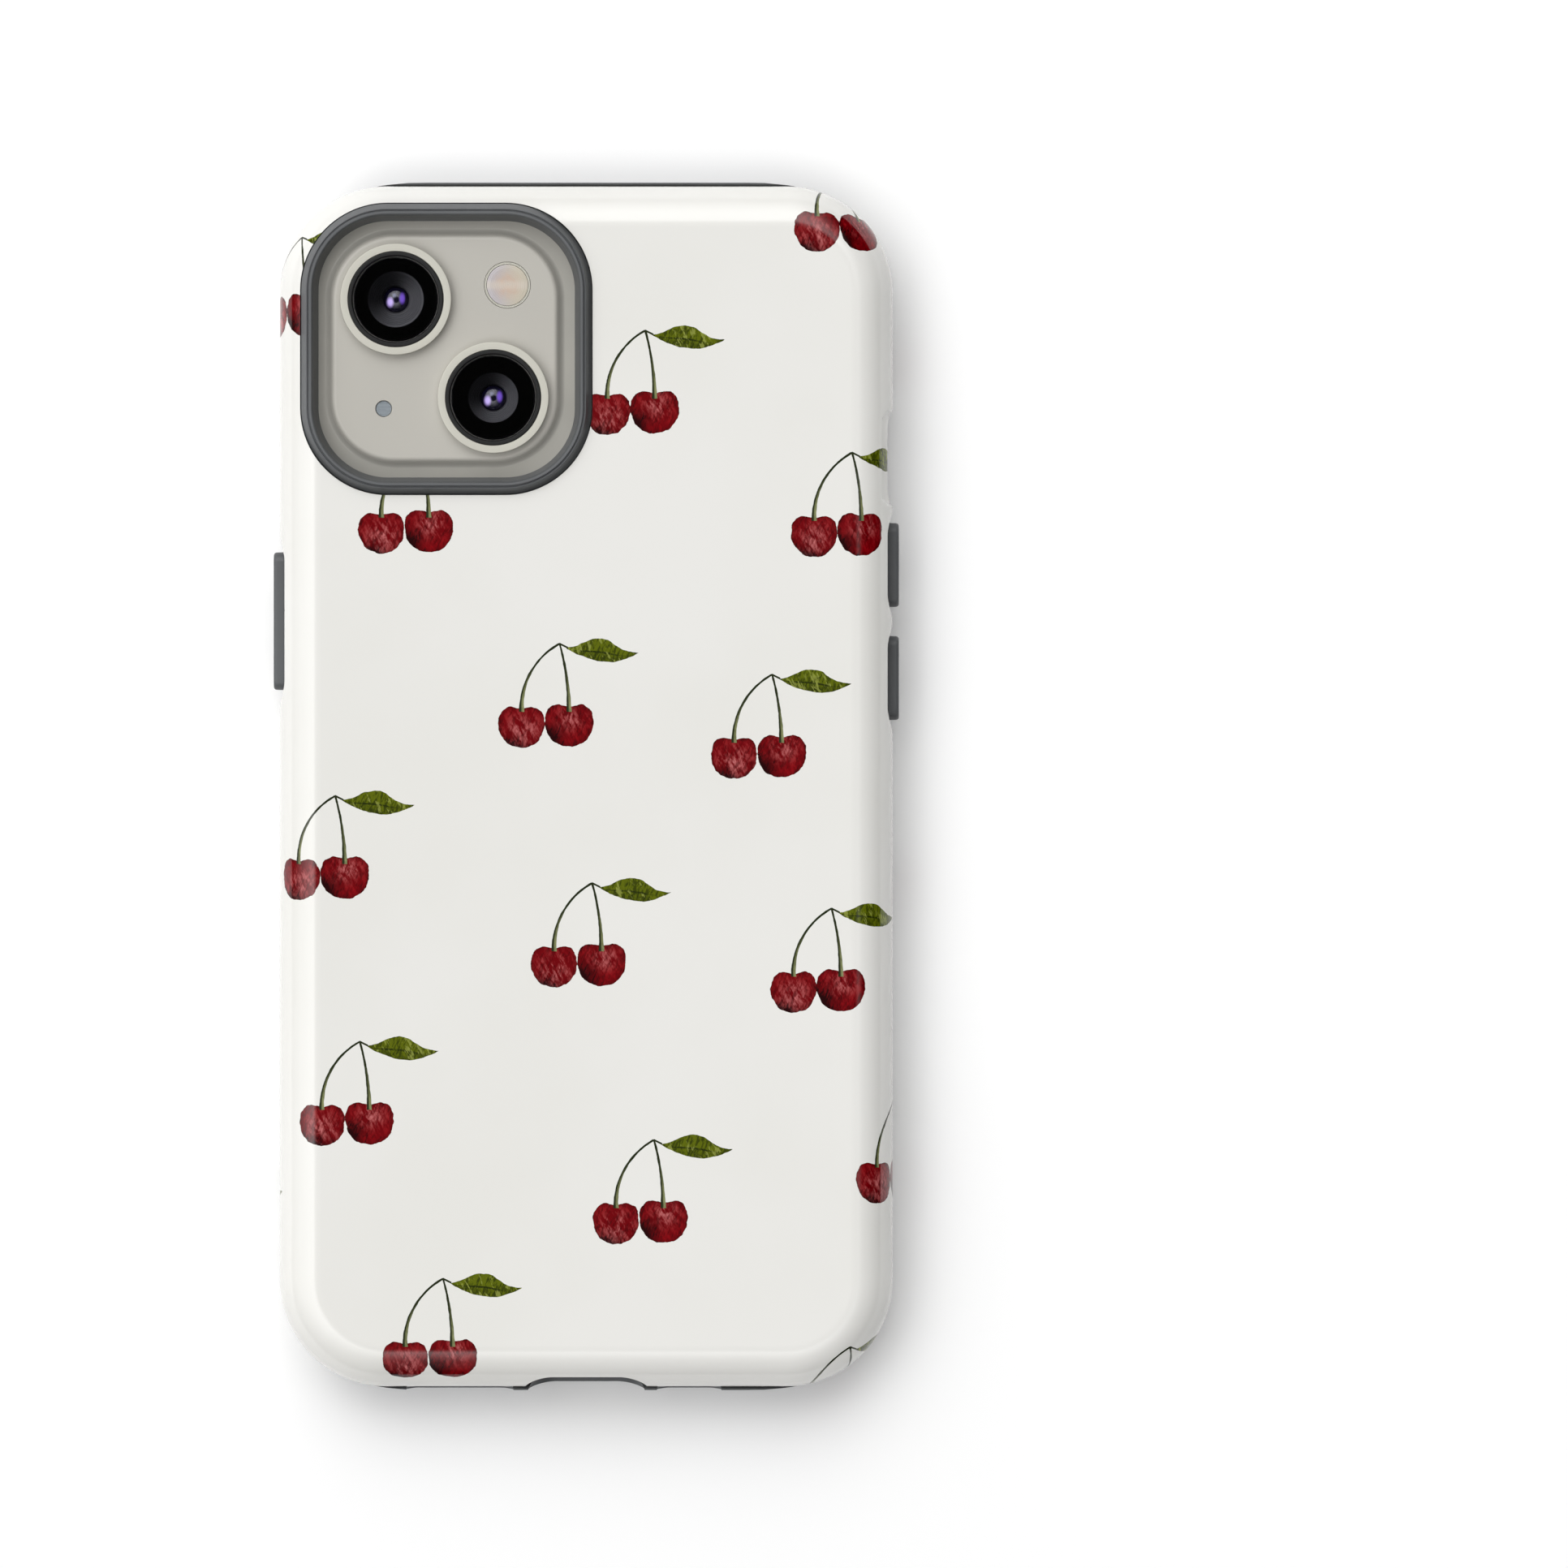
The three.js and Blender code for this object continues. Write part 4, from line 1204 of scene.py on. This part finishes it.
def makeLiner():
    liner = linerRim()
    combine(liner, [aboveEdgeTool()], "DIFFERENCE")
    combine(liner, [linerTray()], "UNION")
    combine(liner, [cameraCutter("windowTool", -1.0)], "DIFFERENCE")
    combine(liner, [cameraSurround()], "UNION")
    look = linerLook
    seat = look["seat"]
    cavity = roundedBlock(
        "cavity", (0, 0), bandHigh[0] + seat, bandHigh[1] + seat, look["seatCorner"],
        [(0.35, 2.4), (0, 2.75), (0, glassLow[2] + 0.55), (0.25, glassLow[2] + 0.8)], 20)
    mouth = roundedBlock(
        "mouth", (0, 0), look["lipHalfX"], look["lipHalfY"], look["lipCorner"],
        [(-0.5, -1.0), (-0.34, 0.0), (-0.1, 0.2), (0, 0.55), (0, 3.0)], 20)
    tools = [cavity, mouth, *keySlots("linerSlot_"), switchRecess("switchTool")]
    tools += [portRecess("portTool", look["portNarrower"]), *soundRecesses()]
    combine(liner, tools, "DIFFERENCE")
    smooth(liner, 34)
    return settle(liner, homeBody, ["inner_liner"], linerRubber)


def makeKeyCovers():
    # a flat foot in the scoop and a raised pad with softened edges
    look = {"foot": 38.0, "padHalf": 1.25}
    foot, face = look["foot"], nodeBox("volume_up_cover")[1][0]
    base = nodeBox("volume_up_cover")[0][0]
    for name, plan in keyPlan.items():
        pad = plan["halfHigh"] - look["padHalf"]
        levels = [(0.0, base), (0.0, foot - 0.3), (0.05, foot - 0.12), (0.16, foot - 0.03), (0.3, foot)]
        levels += [(pad - 0.26, foot), (pad - 0.2, foot - 0.03), (pad - 0.13, foot - 0.03)]
        levels += [(pad - 0.07, foot + 0.04), (pad - 0.03, foot + 0.2), (pad, face - 0.42)]
        levels += [(pad + 0.03, face - 0.24), (pad + 0.11, face - 0.1), (pad + 0.24, face - 0.02)]
        levels.append((pad + 0.38, face))
        cover = sideBlock(
            name + "_cover_fine", plan["side"], plan["y"], plan["halfLong"], plan["halfHigh"], levels,
            steps=16)
        smooth(cover, 50)
        settle(cover, plan["body"], [name + "_cover"], keyRubber)


makeShell()
print("shell made")
makeLiner()
makeKeyCovers()
print("liner and key covers made")


# the phone's back and camera

plateauLook = {
    "half": 14.42, "corner": 8.1, "centre": (-17.8, 55.3), "foot": 0.75, "sheet": 0.8, "lensWell": 5.3,
}


def makeBackGlass():
    look = plateauLook
    low, high = nodeBox("back_glass")
    face = low[2] + look["sheet"]
    spots = perimeter(high[0], high[1], phoneCorner, 24)
    sheet = loft(
        "back_glass_fine", spots, phoneCorner,
        [(0, low[2]), (0, face - 0.25), (0.07, face - 0.09), (0.25, face)])
    foot, top, well = look["foot"], high[2], look["lensWell"]
    levels = [
        (-foot, face - 0.3), (-foot, face - 0.001), (-foot * 0.76, face + 0.04), (-foot * 0.5, face + 0.14),
        (-foot * 0.25, face + 0.33), (0, face + 0.6), (0.13, top - 0.42), (0.28, top - 0.2),
        (0.48, top - 0.06), (0.75, top),
    ]
    plateau = roundedBlock("plateau", look["centre"], look["half"], look["half"], look["corner"], levels, 24)
    combine(sheet, [plateau], "UNION")
    tools = []
    for i, (cx, cy) in enumerate(lensCentres):
        corners = [(0, 5, 0), (well, 5, 0), (well, 20, 0), (0, 20, 0)]
        tools.append(turned("well" + str(i), (cx, cy), corners, 64))
    flash, mic = middleOf("flash_ring"), middleOf("rear_mic_mesh")
    flashRadius, micRadius = radiusOf("flash_ring") + 0.04, radiusOf("rear_mic_mesh") + 0.05
    for label, centre, radius in (("flashWell", flash, flashRadius), ("micWell", mic, micRadius)):
        mouth = [(0, 5, 0), (radius, 5, 0), (radius, top - 0.06, 0), (radius + 0.09, top + 0.03, 0),
                 (radius + 0.09, 20, 0), (0, 20, 0)]
        tools.append(turned(label, centre, mouth, 48))
    combine(sheet, tools, "DIFFERENCE")
    smooth(sheet, 34)
    return settle(sheet, homeBody, ["back_glass"], pearlGlass)


def turnedNode(node, corners, around, material, sharpAngle=40):
    # a lathe piece in the place of one CAD node
    piece = turned(node + "_fine", middleOf(node), corners, around)
    return settle(smooth(piece, sharpAngle), homeBody, [node], material)


def heightsOf(node):
    low, high = nodeBox(node)
    return low[2], high[2]


def makeLenses():
    gap = 0.05
    for name in ("main", "wide"):
        foot, top = heightsOf("lens_ring_" + name)
        outer, trim, glass = (radiusOf(kind + name) for kind in ("lens_ring_", "lens_trim_", "lens_glass_"))
        corners = [
            (trim + gap, foot, 0), (outer - 0.12, foot, 0), (outer, foot + 0.15, 0.06), (outer, top, 0.1),
            (trim + 0.1, top, 0.05), (trim + gap, top - 0.08, 0.03),
        ]
        turnedNode("lens_ring_" + name, corners, 128, ringMetal)
        trimTop = heightsOf("lens_trim_" + name)[1]
        inner = glass + gap
        corners = [
            (inner, foot, 0), (trim, foot, 0), (trim, trimTop, 0.1), (trim - 0.42, trimTop, 0.06),
            (inner, trimTop - 0.2, 0.05),
        ]
        turnedNode("lens_trim_" + name, corners, 128, trimBlack)
        paneFoot, paneTop = heightsOf("lens_glass_" + name)
        corners = [(0, paneFoot, 0), (glass, paneFoot, 0), (glass, paneTop, 0.06), (0, paneTop, 0)]
        turnedNode("lens_glass_" + name, corners, 96, coverGlass)
        makeBarrel(name)
        makeLensDome(name)


barrelLook = {
    "mouth": {"main": 3.55, "wide": 3.17}, "throat": 1.72, "bore": 1.66, "drop": 1.0, "lead": 0.05,
    "ridges": 7, "ridge": 0.012,
}


def makeBarrel(name):
    # a stepped funnel: small ridges down to the throat
    look = barrelLook
    foot, top = heightsOf("lens_barrel_" + name)
    outer = radiusOf("lens_barrel_" + name)
    mouth, throat, bore, drop = look["mouth"][name], look["throat"], look["bore"], look["drop"]
    lead = look["lead"]
    corners = [
        (bore, foot, 0), (outer, foot, 0), (outer, top, 0), (mouth + 0.06, top, 0), (mouth, top - lead, 0),
    ]
    for i in range(look["ridges"]):
        t = (i + 1) / (look["ridges"] + 1)
        r = mouth + (throat - mouth) * t
        z = top - lead - drop * t
        corners += [(r + 0.05, z + 0.008, 0), (r, z + look["ridge"], 0), (r - 0.05, z - 0.02, 0)]
    corners += [(throat, top - drop - lead, 0), (bore, top - drop - 0.2, 0)]
    turnedNode("lens_barrel_" + name, corners, 96, barrelBlack)


def makeLensDome(name):
    foot, top = heightsOf("lens_element_" + name)
    radius = radiusOf("lens_element_" + name)
    rise, steps = 0.55, 14
    ball = (radius ** 2 + rise ** 2) / (2 * rise)
    corners = [(0, foot, 0), (radius, foot, 0), (radius, top - rise, 0)]
    for i in range(1, steps):
        r = radius * (1 - i / steps)
        corners.append((r, top - ball + math.sqrt(ball ** 2 - r ** 2), 0))
    corners.append((0, top, 0))
    turnedNode("lens_element_" + name, corners, 64, lensWithPaintedGlints, 50)


def makeFlash():
    foot, top = heightsOf("flash_ring")
    outer = radiusOf("flash_ring")
    inner = radiusOf("flash_diffuser")
    groove = top - 0.05
    corners = [
        (inner + 0.04, foot, 0), (outer, foot, 0), (outer, top, 0.04), (outer - 0.07, top, 0.03),
        (outer - 0.1, groove, 0.02), (inner + 0.13, groove, 0.02), (inner + 0.1, top, 0.02),
        (inner + 0.04, top, 0.02),
    ]
    turnedNode("flash_ring", corners, 96, ringMetal)
    foot, top = heightsOf("flash_diffuser")
    corners = [
        (0, foot, 0), (inner, foot, 0), (inner, top - 0.04, 0.06), (inner - 0.5, top, 0.4), (0, top, 0),
    ]
    turnedNode("flash_diffuser", corners, 96, flashCream, 50)


makeBackGlass()
makeLenses()
makeFlash()
print("camera made")


# repeated small parts, by Geometry Nodes

def geometryTree(name, numbers):
    tree = bpy.data.node_groups.new(name, "GeometryNodeTree")
    sockets = {}
    for label, kind, value in numbers:
        socket = tree.interface.new_socket(label, in_out="INPUT", socket_type=kind)
        socket.default_value = value
        sockets[label] = socket.identifier
    tree.interface.new_socket("Material", in_out="INPUT", socket_type="NodeSocketMaterial")
    sockets["Material"] = tree.interface.items_tree[-1].identifier
    tree.interface.new_socket("Geometry", in_out="OUTPUT", socket_type="NodeSocketGeometry")
    return tree, tree.nodes.new("NodeGroupInput").outputs, tree.nodes.new("NodeGroupOutput").inputs, sockets


def finishTree(tree, given, result, copies):
    real = putNode(tree, "GeometryNodeRealizeInstances", {0: copies}).outputs[0]
    painted = putNode(tree, "GeometryNodeSetMaterial", {"Geometry": real, "Material": given["Material"]})
    tree.links.new(painted.outputs[0], result["Geometry"])


def runTree(name, tree, sockets, values):
    holder = addObject(name, bpy.data.meshes.new(name))
    step = holder.modifiers.new("build", "NODES")
    step.node_group = tree
    for label, value in values.items():
        step[sockets[label]] = value
    return bake(holder)


def makeRibbedDisc():
    # ribs side by side, each cut to the disc's width at its place
    number, whole = "NodeSocketFloat", "NodeSocketInt"
    tree, given, result, sockets = geometryTree("ribbedDisc", [
        ("Radius", number, 0.001), ("Pitch", number, 0.0001), ("Thickness", number, 0.00006),
        ("Count", whole, 20), ("Height", number, 0.011)])
    line = putNode(tree, "GeometryNodeMeshLine", {"Count": given["Count"]}, mode="OFFSET")
    start = times(tree, minus(tree, given["Count"], 1.0), -0.5)
    startY = times(tree, start, given["Pitch"])
    tree.links.new(joined(tree, Y=startY, Z=given["Height"]), line.inputs["Start Location"])
    tree.links.new(joined(tree, Y=given["Pitch"]), line.inputs["Offset"])
    where = tree.nodes.new("GeometryNodeInputPosition").outputs[0]
    y = partsOf(tree, where)[1]
    inside = minus(tree, times(tree, given["Radius"], given["Radius"]), times(tree, y, y))
    chord = times(tree, calc(tree, "SQRT", larger(tree, inside, 0.0)), 2.0)
    rib = putNode(tree, "GeometryNodeMeshCylinder", {
        "Vertices": 8, "Radius": times(tree, given["Thickness"], 0.5), "Depth": 1.0})
    lying = putNode(tree, "GeometryNodeTransform", {
        "Geometry": rib.outputs[0], "Rotation": (0, math.pi / 2, 0)})
    size = joined(tree, X=chord, Y=1.0, Z=1.0)
    copies = putNode(tree, "GeometryNodeInstanceOnPoints", {
        "Points": line.outputs[0], "Instance": lying.outputs[0], "Scale": size})
    finishTree(tree, given, result, copies.outputs[0])
    return tree, sockets


micLook = {"pitch": 0.13, "rib": 0.09, "ribs": 15, "ribDepth": 0.06, "plateDepth": 0.09}


def makeMic():
    look = micLook
    foot, top = heightsOf("rear_mic_mesh")
    centre = middleOf("rear_mic_mesh")
    radius = radiusOf("rear_mic_mesh")
    tree, sockets = makeRibbedDisc()
    ribs = runTree("mic_ribs", tree, sockets, {
        "Radius": (radius - 0.03) * mm, "Pitch": look["pitch"] * mm, "Thickness": look["rib"] * mm,
        "Count": look["ribs"], "Height": (top - look["ribDepth"]) * mm, "Material": meshSteel})
    smooth(shift(ribs, centre[0], centre[1]), 40, False)
    face = top - look["plateDepth"]
    corners = [(0, foot, 0), (radius, foot, 0), (radius, face, 0.03), (0, face, 0)]
    turnedNode("rear_mic_mesh", corners, 64, meshSteel)
    settle(ribs, homeBody, ["rear_mic_mesh"], meshSteel)


makeMic()


# the phone's front, band and small metal parts

earpieceLook = {
    "centre": (0, 71.75), "halfLong": 5.5, "halfWide": 0.35,
    "columns": 54, "rows": 3, "pitch": 0.19, "stud": 0.06, "studHeight": 0.08, "depth": 0.24, "gap": 0.03,
}


def makeStudGrid():
    # a woven grille: small round studs on a grid
    number, whole = "NodeSocketFloat", "NodeSocketInt"
    tree, given, result, sockets = geometryTree("studGrid", [
        ("Columns", whole, 10), ("Rows", whole, 3), ("Pitch", number, 0.0002), ("Radius", number, 0.00006),
        ("Height", number, 0.0001)])

    def span(count):
        return times(tree, minus(tree, count, 1.0), given["Pitch"])

    grid = putNode(tree, "GeometryNodeMeshGrid", {
        "Size X": span(given["Columns"]), "Size Y": span(given["Rows"]),
        "Vertices X": given["Columns"], "Vertices Y": given["Rows"]})
    stud = putNode(tree, "GeometryNodeMeshCylinder", {
        "Vertices": 8, "Radius": given["Radius"], "Depth": given["Height"]})
    copies = putNode(tree, "GeometryNodeInstanceOnPoints", {
        "Points": grid.outputs[0], "Instance": stud.outputs[0]})
    finishTree(tree, given, result, copies.outputs[0])
    return tree, sockets


def makeScreen():
    low, high = nodeBox("display_glass")
    spots = perimeter(high[0], high[1], phoneCorner, 28)
    face = low[2]
    levels = [(0.42, face), (0.2, face + 0.03), (0.06, face + 0.12), (0, face + 0.28), (0, high[2])]
    sheet = loft("display_glass_fine", spots, phoneCorner, levels)
    slotTool = earpieceBlock("slotTool", 0, [(-0.08, 0), (-0.02, face + 0.06), (0, face + 0.12), (0, 5)])
    combine(sheet, [slotTool], "DIFFERENCE")
    smooth(sheet, 40)
    settle(sheet, homeBody, ["display_glass"], screenBlack)
    makeEarpiece(face + earpieceLook["depth"], high[2])


def earpieceBlock(name, gap, levels):
    halfLong, halfWide = earpieceLook["halfLong"] - gap, earpieceLook["halfWide"] - gap
    return roundedBlock(name, earpieceLook["centre"], halfLong, halfWide, halfWide - 0.01, levels, 10)


def makeEarpiece(face, back):
    # a dark strip in the slot with a grille of studs on it
    look = earpieceLook
    strip = earpieceBlock("earpiece_strip", look["gap"], [(0, face), (0, back)])
    smooth(strip, 40)
    settle(strip, homeBody, ["display_glass"], darkMould)
    tree, sockets = makeStudGrid()
    studs = runTree("earpiece_studs", tree, sockets, {
        "Columns": look["columns"], "Rows": look["rows"], "Pitch": look["pitch"] * mm,
        "Radius": look["stud"] * mm, "Height": look["studHeight"] * mm, "Material": darkMould})
    smooth(shift(studs, *look["centre"], face - look["studHeight"] / 2), 40, False)
    settle(studs, homeBody, ["display_glass"], darkMould)


def makeSwitch():
    # a small slider with rounded edges, on its own body
    low, high = nodeBox("silent_switch")
    z = middleOf("silent_switch")[2]
    halfLong, halfHigh = halfOf("silent_switch")[1:]
    corner = 0.35
    spots = perimeter(halfLong, halfHigh, corner, 8)
    levels = [(0, low[0]), (0, high[0] - 0.2), (0.05, high[0] - 0.06), (0.18, high[0])]
    slider = loft("silent_switch_fine", spots, corner, levels)
    slider.data.transform(Matrix(((0, 0, 1, 0), (1, 0, 0, switchY * mm), (0, 1, 0, z * mm), (0, 0, 0, 1))))
    smooth(slider, 40)
    settle(slider, "silent_slider", ["silent_switch"], bandMetal)


makeScreen()
makeSwitch()

# the CAD nodes that are shown as they are, by finish
finishes = [
    (bandMetal, ["phone_frame", "power_button", "volume_up_button", "volume_down_button"]),
    (screenBlack, ["display_panel"]),
    (solderMask, ["logic_board"]),
    (coilCopper, ["charging_coil"]),
    (darkMould, ["battery", "loudspeaker", "earpiece_speaker", "front_camera", "face_sensor", "flash_board",
                 "silent_contact", "camera_module_main", "camera_module_wide"]),
    (satinSteel, ["power_contact", "volume_up_contact", "volume_down_contact", "board_shield", "haptic_motor",
                  "charging_port", "port_screw_left", "port_screw_right"]),
]
for material, names in finishes:
    for name in names:
        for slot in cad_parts[name].material_slots:
            slot.material = material
print("phone made")


# stage, light and camera

studio = {
    "floorSize": 3.0,
    "floorTone": srgb(250, 250, 250),
    "floorSecondTone": srgb(242, 242, 242),
    "floorGlow": 0.1,
    "floorDrop": 0.02,
    "dome": 2.9,
    "domeFoot": 0.05,
    "domeLeft": 0.5,
    "domeRight": 0.0,
    "domeBelow": 0.15,
    "zenithGlow": 0.03,
    "softboxes": [
        {"name": "topSoftbox", "place": (-0.2, 0.6, 1.1), "width": 1.4, "height": 0.85, "power": 1.2},
        {"name": "keySoftbox", "place": (-0.76, 0.1, 0.64), "width": 1.4, "height": 0.5, "power": 0.1},
    ],
    "cameraLens": 400.0,
    "cameraReach": 2.2104,
    "cameraAside": 25.0 * mm,
    "cameraUp": 0.3 * mm,
}


def makeFloor():
    half = studio["floorSize"] / 2
    data = bpy.data.meshes.new("floor")
    level = -studio["floorDrop"] * mm
    corners = [(-half, -half, level), (half, -half, level), (half, half, level), (-half, half, level)]
    data.from_pydata(corners, [], [(0, 1, 2, 3)])
    material, tree, shader, place = newMaterial(
        "floorPaint", Roughness=0.9, Specular_IOR_Level=0.0, Emission_Color=(1, 1, 1, 1),
        Emission_Strength=studio["floorGlow"])
    tone = between(tree, noise(tree, place, 3.0), 0.3, 0.7)
    paint = mixColour(tree, tone, studio["floorTone"], studio["floorSecondTone"])
    tree.links.new(paint, shader.inputs["Base Color"])
    data.materials.append(material)
    addObject("floor", data)


def addSoftbox(plan):
    # a soft panel turned to the origin
    lamp = bpy.data.lights.new(plan["name"], "AREA")
    lamp.shape = "RECTANGLE"
    lamp.size = plan["width"]
    lamp.size_y = plan["height"]
    lamp.energy = plan["power"]
    obj = addObject(plan["name"], lamp)
    obj.location = plan["place"]
    obj.rotation_euler = (-Vector(plan["place"])).to_track_quat("-Z", "Y").to_euler()


def makeLight():
    # a pale dome, dimmer low down, to the right, to the left and below, dark overhead, with two softboxes
    world = bpy.data.worlds.new("studioWorld")
    bpy.context.scene.world = world
    world.use_nodes = True
    tree = world.node_tree
    direction = tree.nodes.new("ShaderNodeTexCoord").outputs["Generated"]
    x, y, z = partsOf(tree, direction)
    shares = [
        between(tree, x, 0.0, 0.6, 1.0, studio["domeRight"]),
        between(tree, x, -0.85, -0.35, studio["domeLeft"], 1.0),
        between(tree, y, -0.8, -0.2, studio["domeBelow"], 1.0),
        between(tree, z, 0.1, 0.8, studio["domeFoot"], 1.0),
        between(tree, z, 0.91, 0.975, 1.0, studio["zenithGlow"]),
    ]
    glow = studio["dome"]
    for share in shares:
        glow = times(tree, share, glow)
    background = tree.nodes["Background"]
    background.inputs[0].default_value = (1.0, 1.0, 1.0, 1)
    tree.links.new(glow, background.inputs[1])
    for plan in studio["softboxes"]:
        addSoftbox(plan)


def makeCamera():
    lens = bpy.data.cameras.new("camera")
    lens.lens = studio["cameraLens"]
    lens.sensor_width = 36.0
    lens.clip_start = 0.05
    lens.clip_end = 20.0
    camera = addObject("camera", lens)
    camera.location = (studio["cameraAside"], studio["cameraUp"], studio["cameraReach"])
    camera.rotation_euler = (0, 0, 0)
    bpy.context.scene.camera = camera


makeFloor()
makeLight()
makeCamera()
bpy.context.scene.view_settings.view_transform = "Standard"
print("studio made")
